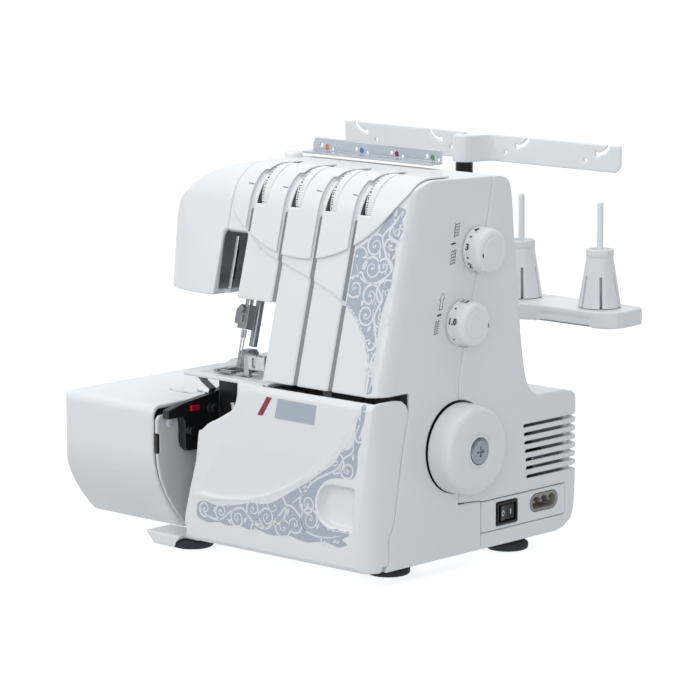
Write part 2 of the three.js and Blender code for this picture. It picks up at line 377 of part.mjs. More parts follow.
// ---------------------------------------------------------------- front cover
{
  const prof = [[-100.5, 10.6], [-110.5, 10.6], [-113.6, 13.4], [-113.6, 22], [-112.4, 50], [-109.8, 90], [-107.2, 121], [-105, 125.4], [-102, 126.2], [-98, 126.2], [-98, 123.4], [-100.6, 123.4], [-102.4, 119], [-104.4, 90], [-105.6, 50], [-106.4, 22], [-106.2, 14], [-100.5, 13.4]];
  const outer = [[-72.8, 10.6], [-110.5, 10.6], [-113.6, 13.4], [-113.6, 22], [-112.4, 50], [-109.8, 90], [-107.2, 121], [-105, 125.4], [-102, 126.2], [-72.8, 126.2]];
  const inner = [[-60, 13.6], [-103.6, 13.6], [-104.4, 22], [-103.8, 50], [-102.4, 90], [-100.6, 119], [-98.4, 123.2], [-97, 140], [-60, 140]];
  let c = prismX(outer, -28, X_RIGHT + 0.2);
  c = c.subtract(prismX(inner, -30, X_RIGHT - WALL));
  // rounded right front corner
  const corner = box(X_RIGHT - 16, X_RIGHT + 2, -130, -98, 0, 140).subtract(rod([X_RIGHT - 15.8, -97.6, -1], [X_RIGHT - 15.8, -97.6, 141], 16, 16, 40));
  c = c.subtract(corner);
  const pillar = prismZ([...arc(X_RIGHT - 15.8, -97.6, 15.8, -90, 0, 8), [X_RIGHT - 3, -97.6], ...arc(X_RIGHT - 15.8, -97.6, 11.6, 0, -90, 6)], 12, 122);
  c = c.add(pillar.intersect(prismX(outer, 100, X_RIGHT + 0.2)));
  // the wrap on the side ends at a sloping seam
  c = c.subtract(prismX([[-90, 130], [-89, 126.4], [-80, 125], [-75.4, 121.6], [-73.3, 116], [-79.3, 90], [-82.3, 75], [-87.8, 43], [-93.3, 32], [-93, 18], [-93.7, 15.2], [-95.9, 13.1], [-98.6, 12.3], [-100.4, 12.3], [-100.4, 5], [-40, 5], [-40, 130]], X_RIGHT - WALL - 4, X_RIGHT + 3));
  c = c.subtract(box(X_RIGHT - WALL - 9.5, X_RIGHT + 3, -99.4, -60, 5, 14.2)); // clearance for the sideways release
  // top flange stops short of the tower front
  c = c.subtract(box(X_TOWER - 1, X_RIGHT + 2, -103, -60, 122, 130).subtract(box(X_RIGHT - WALL, X_RIGHT + 3, -104, -60, 100, 128)));
  c = c.subtract(box(-30, X_TOWER + 1, -99.4, -60, 120, 130));
  // diagonal upper left corner
  c = c.subtract(prismY([[-40, 5], [-28, 5], [-28, 14], [-27.5, 20], [-23.4, 31], [-20.6, 42], [-22.1, 54], [-23.3, 65], [-24.2, 75], [-23.9, 84], [-21.4, 87.6], [-14.8, 92.7], [-2.4, 99.2], [8.4, 105.2], [12.6, 110.8], [13.8, 117], [14, 130], [-40, 130]], -130, -60));
  // facet that turns back from a sloping fold to the left edge
  c = c.subtract(prismZ([[0, 0], [-60, 12], [-60, -40], [0, -40]], 44, 107.4).warp((v) => {
    const t = (v[2] - 44) / 63.4;
    v[0] += -16.4 + 28.7 * t;
    v[1] += -110.4 + 1.4 * t;
  }));
  // scoop: a shallow dish with a round lower edge
  const dish = rod([2, -200, 184], [2, -110.2, 184], 141, 139.4, 96).intersect(prismX([[-200, -30], [-110.6, 30], [-108.4, 60], [-107.4, 90], [-105.2, 121], [-104.6, 140], [-200, 140]], -40, 140));
  c = c.subtract(dish);
  // finger recess
  c = c.subtract(prismY([...arc(110.5, 53.5, 14, 90, 270, 12), [130, 39.5], [130, 67.5]], -118, -106.4));
  add("front_cover", c, "white");
  add("cover_hinge_rod", rod([-20, -101.2, 16], [136, -101.2, 16], 2, 2, 12), "steel");
}

// ---------------------------------------------------------------- extension block
{
  const belly = [[-110, 92], ...curved([[-110, 66], [-109.2, 58], [-106.6, 48], [-101.4, 36.5], [-93.8, 24.5], [-84.5, 13.6], [-79.4, 8.6]], 2, [-110.1, 74], [-74, 3.4])];
  const out = [...belly.slice().reverse(), [-109.6, 95], [-107.6, 98.4], [-104, 100], [48, 100], [50, 98], [50, 8.6]];
  const inn = [[47, 97], [-103.6, 97], [-106.4, 94.6], [-107, 92], [-107, 66], [-106.2, 58.6], [-103.8, 49.4], [-98.8, 38], [-91.4, 26.4], [-82.2, 15.4], [-78.4, 11.6], [47, 11.6]];
  let b = prismX(out, X_LEFT, X_BLOCK - GAP - 2.4);
  b = b.subtract(prismX(inn, X_LEFT + WALL, X_BLOCK));
  // round the left upright corner in plan
  b = b.subtract(box(X_LEFT - 1, X_LEFT + 7, -120, -103, 0, 110).subtract(rod([X_LEFT + 7, -103, -1], [X_LEFT + 7, -103, 111], 7, 7, 24)));
  add("extension_block", b, "white");
  // end plate facing the loopers
  let p = prismX([[-80.4, 11], [-108, 66.4], [-108, 90], [-105.5, 93], [-90, 93], [-88, 91], [-86.4, 84], [-86.4, 72], [-84, 68], [-66.8, 68], [-66.8, 97], [46, 97], [46, 11]], X_BLOCK - 2.4, X_BLOCK);
  p = p.subtract(prismX([[-108, 66.4], [-107, 57], [-104.6, 47.5], [-99.4, 36], [-91.8, 24.4], [-82, 12.6], [-80, 10], [-112, 10], [-112, 66.4]], X_BLOCK - 3, X_BLOCK + 1));
  p = p.subtract(box(X_BLOCK - 3, X_BLOCK + 1, -50, 30, 30, 84)); // window over the free arm
  p = p.add(rod([X_BLOCK - 1, -95.4, 86.6], [X_BLOCK + 1.2, -95.4, 86.6], 3.2, 2.8, 18)); // head of its screw
  p = p.subtract(box(X_BLOCK - 3, X_BLOCK + 1, -112, -105.6, 65.6, 79.9));
  add("block_end_plate", p, "side");
  add("block_latch", box(X_BLOCK - 2.3, X_BLOCK + 0.4, -108.6, -106, 66, 79.5), "black");
}

// ---------------------------------------------------------------- bed
{
  let b = box(-57, X_TOWER - GAP, -56, 52, Z_BASE, 122.6);
  b = b.subtract(box(-54, X_TOWER + 2, -53, 49, 5, 119.8));
  b = b.subtract(box(-44, X_TOWER + 2, -60, -50, 13.2, 119)).subtract(box(-27, 2, -60, -48, 100, 124)).subtract(box(-60, -43, -60, -35.2, 60, 119.4)); // open to the loopers
  b = b.subtract(box(-16, X_TOWER + 2, -50, 60, 5, 14)); 
  b = b.add(box(-125, -55, -32, 24, 44, 78).subtract(box(-126, -60, -29, 21, 47, 75))); // short arm that carries the extension block
  add("bed_casing", b, "white");
  // cloth plate with a window for the needle plate
  const cp = prismZ([...arc(-42, -92, 6, 180, 270, 4), [X_TOWER - GAP, -98], [X_TOWER - GAP, 51], [-55, 51], [-56, 50], [-56, -40], [-48, -52]], 123, Z_BED).subtract(box(-33, 20, -91, -46, 120, 130));
  add("cloth_plate", cp, "white");
  const np = box(-32.6, 19.6, -90.6, -46.4, 123.6, Z_BED).subtract(box(-22.5, -4, -72, -54, 120, 130)).subtract(box(-14, -4.5, -84, -76.5, 120, 130)).subtract(box(-1.8, 8.8, -88.4, -74, 120, 130));
  add("needle_plate", np, "steel");
}
{
  let d = box(-21.6, -4.9, -70.4, -57.4, 116, 123);
  for (let k = 0; k < 3; k++) d = d.add(prismX([[-70.4, 122.5], ...Array.from({ length: 6 }, (_, i) => [[-70.4 + i * 2.1, 125.2], [-69.2 + i * 2.1, 126.4]]).flat(), [-57.4, 125], [-57.4, 122.5]], -21 + k * 6, -17.4 + k * 6));
  add("feed_dog", d.add(box(-18, -9, -64, -58.8, 104, 117)), "steel");
}

// ---------------------------------------------------------------- needle mechanism: it leans with the tower front
{
  const ax = [0, Math.sin(LEAN), Math.cos(LEAN)];
  const at = (x, y, z, t) => [x, y + ax[1] * t, z + ax[2] * t];
  const tip = [NEEDLE.x, NEEDLE.y, NEEDLE.z];
  const needle = (x, t0) => {
    const A = at(x, tip[1], tip[2], t0);
    return rod(A, at(x, tip[1], tip[2], t0 + 4), 0.15, 0.55, 10).add(rod(at(x, tip[1], tip[2], t0 + 3.9), at(x, tip[1], tip[2], 27.4), 0.55, 0.55, 10)).add(rod(at(x, tip[1], tip[2], 24), at(x, tip[1], tip[2], 29.6), 1, 1, 10));
  };
  add("left_needle", needle(tip[0] - 1.2, 0), "steel");
  add("right_needle", needle(tip[0] + 1.4, 1.6), "steel");
  const tilt = (s) => s.rotate([-LEAN * 180 / Math.PI, 0, 0]).translate(tip);
  // pieces drawn upright on the needle's own axis, then leaned
  let clamp = box(-4.4, 4.4, -3.4, 4, 30, 47).add(box(-8.5, -4, -2.6, 2.6, 33, 44)).subtract(rod([0, 0.4, 29], [0, 0.4, 34], 0.01, 0.01, 6));
  clamp = clamp.add(box(-2, 2, -6.4, -3, 35, 39)).subtract(rod([0, 0.6, 41.5], [0, 0.6, 48], 3.25, 3.25, 20));
  clamp = clamp.add(rod([0, -3, 43.6], [0, -7.4, 43.6], 2.6, 2.6, 16)); // needle screw
  add("needle_clamp", tilt(clamp), "chrome");
  add("needle_bar", tilt(rod([0, 0.6, 41.9], [0, 0.6, 108], 2.9, 2.9, 20)), "steel");
  // presser bar behind, with its foot
  add("presser_bar", tilt(rod([-3.5, 15, 19], [-3.5, 15, 112], 3, 3, 20)), "steel");
  let foot = box(-12, 5, -12, 24, 1.4, 3.4).add(prismX([[8, 3], [8, 12], [11, 14.6], [19, 14.6], [21, 12], [21, 3]], -7.5, 0.5));
  foot = foot.subtract(box(-5, 3.4, -8, 5, 0, 6));
  foot = foot.subtract(box(-8, -6.6, -13, -2, 0, 6));
  add("presser_foot", foot.rotate([0, 0, 0]).translate([tip[0] - 0.6, tip[1] + 1.2, Z_BED - 0.2]), "chrome");
  // lifter lever at the back of the head
  add("presser_lifter", prismX([[8, 187], [12, 185], [58, 168], [62, 168.6], [63, 171], [60, 173.4], [14, 193], [8, 193]], -32, -24), "white");
  // take-up blade in the slot of the head
  add("needle_thread_guide", prismX([[-89.5, 187], [-86.6, 186.4], [-80.4, 212], [-79.2, 222], [-80.8, 222.4], [-83.2, 212]], -8.4, -6), "chrome");
  // moving knife on its arm, and its fixed mate
  let knife = prismX([[-86.4, 125.6], [-84.8, 124.4], [-83.6, 124.4], [-81, 134], [-81, 141], [-83, 142], [-85, 141]], 2.3, 7.6);
  knife = knife.add(box(7, 23, -86.4, -81.6, 131, 142)).subtract(box(11, 14, -90, -84.4, 133, 139.6));
  knife = knife.add(box(18.5, 23, -84, -44.6, 132, 140)).add(prismX([[-50.5, 132], [-45, 132], [-40, 190], [-45, 190]], 18.5, 23));
  add("upper_knife", knife, "steel");
  add("lower_knife", box(-1.4, 1.9, -88, -76, 112, 125.4).add(box(-1.4, 6, -88, -76, 108, 114)), "steel");
}
// loopers under the bed
{
  const hook = prismY([...arc(-8, 104, 15, 185, 352, 12), ...arc(-7.2, 105.4, 12, 345, 190, 12)], -74, -71);
  add("lower_looper", hook.add(box(-13, -7, -74, -71, 62, 92)).add(rod([-10, -76, 66], [-10, -57, 66], 5, 5, 20)), "steel");
  add("upper_looper", prismY([[14, 74], [20, 74], [20.6, 98], [16, 110], [4, 119], [3, 116.6], [11.6, 107], [15, 96]], -66, -63).add(rod([17, -68, 76], [17, -57, 76], 4.4, 4.4, 18)), "steel");
  // black carrier beside the block, with the red release button
  let k = prismX([[-106, 91], [-106, 97.2], [-92, 100.4], [-62, 104.4], [-40, 109], [-36, 109], [-36, 66], [-86, 66], [-89.4, 69], [-89.4, 88], [-92, 91]], -58, -52);
  k = k.add(box(-52.5, -40, -55.4, -46, 62, 117)).add(box(-42.6, 33, -55.4, -52.8, 40, 115.2)).add(rod([-53, -85, 81], [-48, -85, 81], 3, 3, 16)).add(rod([-53, -63.5, 94], [-47, -63.5, 94], 3.4, 3.4, 16));
  k = k.subtract(box(-59, -49, -84.6, -75.4, 93.8, 98.8));
  add("looper_carrier", k, "black");
  add("release_button", box(-58.6, -51, -84.2, -75.8, 94.2, 98.4), "red");
  add("looper_thread_guide", prismZ([[-72, -86], [-66, -88.6], [-50, -87], [-40, -82], [-37, -74], [-44, -72], [-52, -77], [-62, -82]], 107.6, 109.2).add(prismY([[-47, 108.6], [-36.6, 108.6], [-35, 112], [-42, 116], [-46, 119.4], [-48, 118]], -82, -75)), "chrome");
}

// ---------------------------------------------------------------- top
{
  // polished guide plate with four thread eyes
  const hs = [-21.5, 11.8, 45, 78.4];
  let g = prismY([[-30, 270.9], [92, 270.9], [92, 279.2], [90, 281.2], [-26, 281.2], [-28.4, 280.2], [-30, 276]], 19.2, 20.6);
  for (const x of hs) g = g.subtract(rod([x, 15, 276], [x, 25, 276], 1.6, 1.6, 12)).subtract(rod([x + 10.6, 15, 273.9], [x + 10.6, 25, 273.9], 1.3, 1.3, 12));
  g = g.add(box(-30, 92, 8, 20.4, 270.9, 272.3));
  add("top_thread_guide", g, "chrome");
  add("presser_pressure_dial", latheZ([[263, 0], [263, 6.6], [271.4, 6.5], [272.2, 5.2], [272.2, 0]], -33, 2, 24), "grey");
}

// ---------------------------------------------------------------- spool stand
{
  const half = [[40, 128], [58, 146], [72, 149], [122, 149], [131, 151.6], [137, 158], [138, 166], [136.6, 187], [133, 191], [128, 192]];
  const plan = [...half, ...half.map(([x, y]) => [-x, y]).reverse()];
  const under = plan.map(([x, y]) => [x * 0.976, 160 + (y - 160) * 0.91]);
  let s = prismZ(plan, STAND_Z - 12.4, STAND_Z).subtract(prismZ(under, STAND_Z - 13, STAND_Z - 3));
  // bracket that carries the stand on the back of the bed
  s = s.add(box(-28, 28, 52.6, 140, STAND_Z - 12.4, STAND_Z - 3)).add(box(-28, 28, 52.6, 58.6, 62, STAND_Z - 3)).add(box(POLE.x - 9, POLE.x + 9, POLE.y - 9, POLE.y + 9, STAND_Z - 12.4, STAND_Z - 1));
  for (const x of PIN_X) s = s.add(latheZ([[STAND_Z - 5, 0], [STAND_Z - 5, 2.55], [231, 2.4], [232.4, 1.6], [232.4, 0]], x, PIN_Y, 14)); // spool pins
  s = s.subtract(rod([POLE.x, POLE.y, STAND_Z - 6], [POLE.x, POLE.y, STAND_Z + 2], 4.3, 4.3, 20));
  add("spool_stand", s, "white");
  PIN_X.forEach((x, i) => {
    let c = latheZ([[STAND_Z + GAP, 3.2], [STAND_Z + GAP, 15.9], [STAND_Z + 37.6, 9.6], [STAND_Z + 37.6, 10.3], [STAND_Z + 42.4, 10.1], [STAND_Z + 42.4, 7.6], [STAND_Z + 40, 7.2], [STAND_Z + 40, 3.2], [STAND_Z + GAP, 3.2]], x, PIN_Y, 18);
    for (const a of [13, 73, 133]) {
      const slot = prismZ(rotate2([[-16, -0.9], [16, -0.9], [16, 0.9], [-16, 0.9]], a, x, PIN_Y), STAND_Z - 1, STAND_Z + 23).subtract(rod([x, PIN_Y, STAND_Z - 2], [x, PIN_Y, STAND_Z + 50], 6, 6, 16));
      c = c.subtract(slot);
    }
    add("cone_holder_" + (i + 1), c, "side");
  });
}
function rotate2(pts, deg, cx, cy) {
  const a = (deg * Math.PI) / 180;
  return pts.map(([x, y]) => [cx + x * Math.cos(a) - y * Math.sin(a), cy + x * Math.sin(a) + y * Math.cos(a)]);
}
{
  // telescopic thread pole, pushed down
  const tube = rod([POLE.x, POLE.y, STAND_Z - 5.4], [POLE.x, POLE.y, 246], 4, 4, 20).add(rod([POLE.x, POLE.y, 243], [POLE.x, POLE.y, 252], 5, 5, 20)).subtract(rod([POLE.x, POLE.y, STAND_Z - 2], [POLE.x, POLE.y, 254], 3.2, 3.2, 20));
  add("pole_lower_tube", tube, "chrome");
  add("pole_upper_tube", rod([POLE.x, POLE.y, STAND_Z + 2], [POLE.x, POLE.y, 254.6], 2.9, 2.9, 18), "chrome");
  // thread bar: two straight arms above the spool pins, joined by a bow round the pole
  const right = [[133.4, TREE_Y - 1.1], [134, TREE_Y], [133.4, TREE_Y + 1.1], [15, TREE_Y + 1.1], [11, TREE_Y - 1], [9, TREE_Y - 7], [7.6, 153]];
  const front = [[-2.6, 140.6], [2.6, 140.6], [6.4, 142.6], [8.8, 147], [10, 152], [11.4, 158], [13.4, TREE_Y - 2.6], [16, TREE_Y - 1.1]];
  const plan = [...front.filter(([x]) => x > 0), ...right, ...right.map(([x, y]) => [-x, y]).reverse(), ...front.filter(([x]) => x > 0).map(([x, y]) => [-x, y]).reverse()];
  let t = prismZ(plan, 254.8, 274.4);
  t = t.add(rod([POLE.x, POLE.y, 254.8], [POLE.x, POLE.y, 273], 6.6, 6.6, 24)).subtract(rod([POLE.x, POLE.y, 250], [POLE.x, POLE.y, 256], 4.6, 4.6, 18).subtract(rod([POLE.x, POLE.y, 254.9], [POLE.x, POLE.y, 257], 5, 5, 18)));
  for (const side of [-1, 1]) {
    for (const px of [37, 112]) {
      t = t.subtract(rod([side * px, 150, 267], [side * px, 180, 267], 2, 2, 12)).subtract(rod([side * (px - 10.5), 150, 262], [side * (px - 10.5), 180, 262], 1.7, 1.7, 12));
      const slot = [[-1, 266.2], [3, 266.2], [8, 268.4], [11.6, 272], [12.6, 276], [10, 276], [9.2, 273], [6, 270], [2, 268.2], [-1, 268.2]].map(([x, z]) => [side * (px + x), z]);
      t = t.subtract(prismY(side > 0 ? slot : slot.slice().reverse(), 155, 175));
    }
    // rounded lower corners
    t = t.subtract(prismY([[side * 127, 254], [side * 130, 255.6], [side * 132.6, 258.2], [side * 135, 262], [side * 135, 254]].slice()[side > 0 ? "slice" : "reverse"](), 155, 175));
  }
  add("thread_tree", t, "white");
}

export default group;
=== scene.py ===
import json
import math
import bpy
import numpy as np
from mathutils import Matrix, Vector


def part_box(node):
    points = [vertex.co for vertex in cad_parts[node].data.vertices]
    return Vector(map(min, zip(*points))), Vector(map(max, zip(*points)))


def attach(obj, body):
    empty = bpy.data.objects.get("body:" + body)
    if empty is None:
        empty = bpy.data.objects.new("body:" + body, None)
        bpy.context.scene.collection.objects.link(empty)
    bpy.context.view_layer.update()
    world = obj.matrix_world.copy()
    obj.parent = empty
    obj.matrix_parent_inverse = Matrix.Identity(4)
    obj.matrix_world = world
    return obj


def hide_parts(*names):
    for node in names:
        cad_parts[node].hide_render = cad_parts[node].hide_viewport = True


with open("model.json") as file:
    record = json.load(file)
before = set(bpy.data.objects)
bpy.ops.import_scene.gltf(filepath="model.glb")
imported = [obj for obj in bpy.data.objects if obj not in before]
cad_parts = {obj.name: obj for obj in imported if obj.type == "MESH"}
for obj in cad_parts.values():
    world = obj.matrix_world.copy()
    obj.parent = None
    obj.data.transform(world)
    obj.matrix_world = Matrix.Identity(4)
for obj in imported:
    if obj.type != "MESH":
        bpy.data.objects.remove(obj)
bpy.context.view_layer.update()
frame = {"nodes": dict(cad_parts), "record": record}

import openvdb as vdb
from mathutils import Vector, Matrix
from mathutils.bvhtree import BVHTree
from mathutils.geometry import delaunay_2d_cdt

NODES = frame["nodes"]
BODY_OF = {n: b for b, ns in frame["record"]["behaviour"]["bodies"].items() for n in ns}
scene = bpy.context.scene

# machine coordinates in mm (x to the handwheel, y to the back, z up) to the row frame in metres
_lo, _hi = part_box("front_casing")
OX, OY = _hi[0] - 0.145, _lo[1] + 0.1055


def T(x, y, z):
    return np.array([x * 1e-3 + OX, y * 1e-3 + OY, z * 1e-3])


def srgb(r, g, b):
    f = lambda c: (c / 255 / 12.92) if c / 255 <= 0.04045 else ((c / 255 + 0.055) / 1.055) ** 2.4
    return (f(r), f(g), f(b), 1.0)


# ------------------------------------------------------------------ materials
def material(name, col, rough=0.4, metal=0.0, var=0.04, bump=0.1, scale=420.0, depth=0.00008, coat=0.0, spec=0.5, rvar=0.06, streak=None, emit=None):
    m = bpy.data.materials.new(name)
    m.use_nodes = True
    nt = m.node_tree
    nt.nodes.clear()
    out = nt.nodes.new("ShaderNodeOutputMaterial")
    sh = nt.nodes.new("ShaderNodeBsdfPrincipled")
    nt.links.new(sh.outputs[0], out.inputs[0])
    tc = nt.nodes.new("ShaderNodeTexCoord")
    mp = nt.nodes.new("ShaderNodeMapping")
    nt.links.new(tc.outputs["Object"], mp.inputs["Vector"])
    if streak:
        mp.inputs["Scale"].default_value = streak

    def noise(s, detail=2.0):
        n = nt.nodes.new("ShaderNodeTexNoise")
        n.inputs["Scale"].default_value = s
        n.inputs["Detail"].default_value = detail
        nt.links.new(mp.outputs["Vector"], n.inputs["Vector"])
        return n.outputs["Fac"]

    mix = nt.nodes.new("ShaderNodeMix")
    mix.data_type = "RGBA"
    mix.inputs["A"].default_value = tuple(min(1.0, c * (1 - var)) for c in col[:3]) + (1,)
    mix.inputs["B"].default_value = tuple(min(1.0, c * (1 + var)) for c in col[:3]) + (1,)
    nt.links.new(noise(14.0, 3.0), mix.inputs["Factor"])
    nt.links.new(mix.outputs["Result"], sh.inputs["Base Color"])
    mr = nt.nodes.new("ShaderNodeMapRange")
    mr.inputs["From Min"].default_value, mr.inputs["From Max"].default_value = 0.3, 0.7
    mr.inputs["To Min"].default_value, mr.inputs["To Max"].default_value = max(0.02, rough - rvar), min(1.0, rough + rvar)
    nt.links.new(noise(46.0, 4.0), mr.inputs["Value"])
    nt.links.new(mr.outputs["Result"], sh.inputs["Roughness"])
    if bump:
        bp = nt.nodes.new("ShaderNodeBump")
        bp.inputs["Strength"].default_value = bump
        bp.inputs["Distance"].default_value = depth
        nt.links.new(noise(scale, 2.0), bp.inputs["Height"])
        nt.links.new(bp.outputs["Normal"], sh.inputs["Normal"])
    sh.inputs["Metallic"].default_value = metal
    sh.inputs["Specular IOR Level"].default_value = spec
    if coat:
        sh.inputs["Coat Weight"].default_value = coat
        sh.inputs["Coat Roughness"].default_value = 0.12
    return m


M = {
    "white_shell": material("white_shell_plastic", srgb(231, 234, 236), 0.36, var=0.012, bump=0.25, coat=0.12, spec=0.45),
    "dial_white": material("dial_white_plastic", srgb(236, 238, 238), 0.42, var=0.01, bump=0.2),
    "light_grey_plastic": material("light_grey_plastic", srgb(196, 200, 204), 0.45, var=0.02, bump=0.3),
    "grey_plastic": material("grey_plastic", srgb(128, 131, 134), 0.45, var=0.03, bump=0.3),
    "black_plastic": material("black_plastic", srgb(26, 27, 29), 0.4, var=0.12, bump=0.35),
    "red_plastic": material("red_plastic", srgb(196, 22, 48), 0.3, var=0.05, bump=0.15, coat=0.3),
    "rubber": material("foot_rubber", srgb(52, 54, 57), 0.75, var=0.1, bump=0.6, scale=700, spec=0.3),
    "belt_rubber": material("belt_rubber", srgb(34, 34, 35), 0.8, var=0.1, bump=0.6, scale=700, spec=0.3),
    "cast_frame": material("cast_alloy", srgb(140, 142, 144), 0.55, metal=0.85, var=0.08, bump=0.8, scale=600, depth=0.0002),
    "motor_can": material("motor_steel", srgb(92, 93, 96), 0.42, metal=0.8, var=0.06, bump=0.3),
    "steel": material("machined_steel", srgb(186, 189, 192), 0.26, metal=1.0, var=0.04, bump=0.15, streak=(1, 1, 9)),
    "chrome": material("bright_chrome", srgb(205, 208, 211), 0.12, metal=1.0, var=0.02, bump=0.06, rvar=0.03),
}
M["dark_chrome"] = material("dark_chrome", srgb(104, 108, 114), 0.14, metal=1.0, var=0.04, bump=0.06, rvar=0.03)
M["foot_satin"] = material("foot_satin", srgb(150, 154, 160), 0.36, metal=0.85, var=0.04, bump=0.1)
M["plate_satin"] = material("plate_satin", srgb(222, 225, 228), 0.46, metal=0.35, var=0.02, bump=0.15)
M["switch_black"] = material("switch_black", srgb(16, 17, 21), 0.35, var=0.1, bump=0.1, spec=0.3)
M["screw_steel"] = material("screw_steel", srgb(132, 139, 148), 0.34, metal=1.0, var=0.05, bump=0.1)
M["side_plate"] = material("side_plate_plastic", srgb(228, 231, 234), 0.45, var=0.015, bump=0.3)
M["presser_cap"] = material("dial_cap_grey", srgb(120, 124, 130), 0.5, var=0.03, bump=0.2)
# painted shade: a grey laid on the thread channel floors that stands in for the shade in these shallow grooves
M["shadow_plastic"] = material("channel_painted_shade_grey", srgb(140, 144, 149), 0.55, var=0.03, bump=0.3, spec=0.2)
M["guide_plate"] = material("guide_plate_satin", srgb(196, 202, 209), 0.3, metal=0.6, var=0.03, bump=0.1)
M["ornament_field"] = material("ornament_field_print", srgb(172, 181, 192), 0.42, var=0.04, bump=0.2, rvar=0.04)
M["ornament_line"] = material("ornament_line_print", srgb(226, 230, 233), 0.42, var=0.02, bump=0.2, rvar=0.04)
M["ink_black"] = material("ink_black_print", srgb(40, 42, 46), 0.5, var=0.1, bump=0.1)
M["ink_grey"] = material("ink_grey_print", srgb(105, 112, 124), 0.5, var=0.05, bump=0.1)
M["ink_white"] = material("ink_white_print", srgb(225, 226, 226), 0.5, var=0.02, bump=0.1)
M["mark_orange"] = material("mark_orange_print", srgb(214, 116, 92), 0.4, var=0.05, bump=0.1)
M["mark_blue"] = material("mark_blue_print", srgb(70, 118, 180), 0.4, var=0.05, bump=0.1)
M["mark_maroon"] = material("mark_maroon_print", srgb(140, 42, 66), 0.4, var=0.05, bump=0.1)
M["mark_green"] = material("mark_green_print", srgb(70, 150, 92), 0.4, var=0.05, bump=0.1)
M["inlet_brown"] = material("inlet_grey_brown", srgb(146, 142, 134), 0.5, var=0.06, bump=0.3)

SLOT_MAT = {"white_shell": "white_shell", "dial_white": "dial_white", "light_grey_plastic": "light_grey_plastic", "grey_plastic": "grey_plastic", "black_plastic": "black_plastic", "red_plastic": "red_plastic", "rubber": "rubber", "belt_rubber": "belt_rubber", "cast_frame": "cast_frame", "motor_can": "motor_can", "steel": "steel", "chrome": "chrome"}
NODE_SLOT = {}
for entry in frame["record"].get("materials", []):
    for key in ("nodes", "node_names", "applies_to"):
        for n in entry.get(key, []) or []:
            NODE_SLOT[n] = entry.get("slot")


# ------------------------------------------------------------------ meshes
def tri_arrays(obj):
    me = obj.data
    co = np.empty(len(me.vertices) * 3, np.float32)
    me.vertices.foreach_get("co", co)
    me.calc_loop_triangles()
    t = np.empty(len(me.loop_triangles) * 3, np.int32)
    me.loop_triangles.foreach_get("vertices", t)
    return co.reshape(-1, 3), t.reshape(-1, 3)


def new_mesh(name, verts, faces, mat, smooth=True, normals=None, collection=None):
    me = bpy.data.meshes.new(name)
    me.from_pydata([tuple(v) for v in verts], [], [tuple(int(i) for i in f) for f in faces])
    me.update()
    if smooth:
        me.polygons.foreach_set("use_smooth", [True] * len(me.polygons))
    if normals is not None:
        me.normals_split_custom_set_from_vertices([tuple(n) for n in normals])
    ob = bpy.data.objects.new(name, me)
    scene.collection.objects.link(ob)
    me.materials.append(M[mat] if isinstance(mat, str) else mat)
    return ob


def fast_mesh(name, pts, tris, quads, mat, normals=None):
    me = bpy.data.meshes.new(name)
    nt_, nq = len(tris), len(quads)
    me.vertices.add(len(pts))
    me.vertices.foreach_set("co", np.ascontiguousarray(pts, np.float32).ravel())
    loops = np.concatenate([tris.ravel(), quads.ravel()]).astype(np.int32)
    me.loops.add(len(loops))
    me.loops.foreach_set("vertex_index", loops)
    starts = np.concatenate([np.arange(nt_) * 3, nt_ * 3 + np.arange(nq) * 4]).astype(np.int32)
    me.polygons.add(nt_ + nq)
    me.polygons.foreach_set("loop_start", starts)
    me.polygons.foreach_set("use_smooth", np.ones(nt_ + nq, bool))
    me.update(calc_edges=True)
    me.validate()
    if normals is not None and len(me.vertices) == len(pts):
        me.normals_split_custom_set_from_vertices(normals.tolist())
    ob = bpy.data.objects.new(name, me)
    scene.collection.objects.link(ob)
    me.materials.append(M[mat] if isinstance(mat, str) else mat)
    return ob


SURF = {}


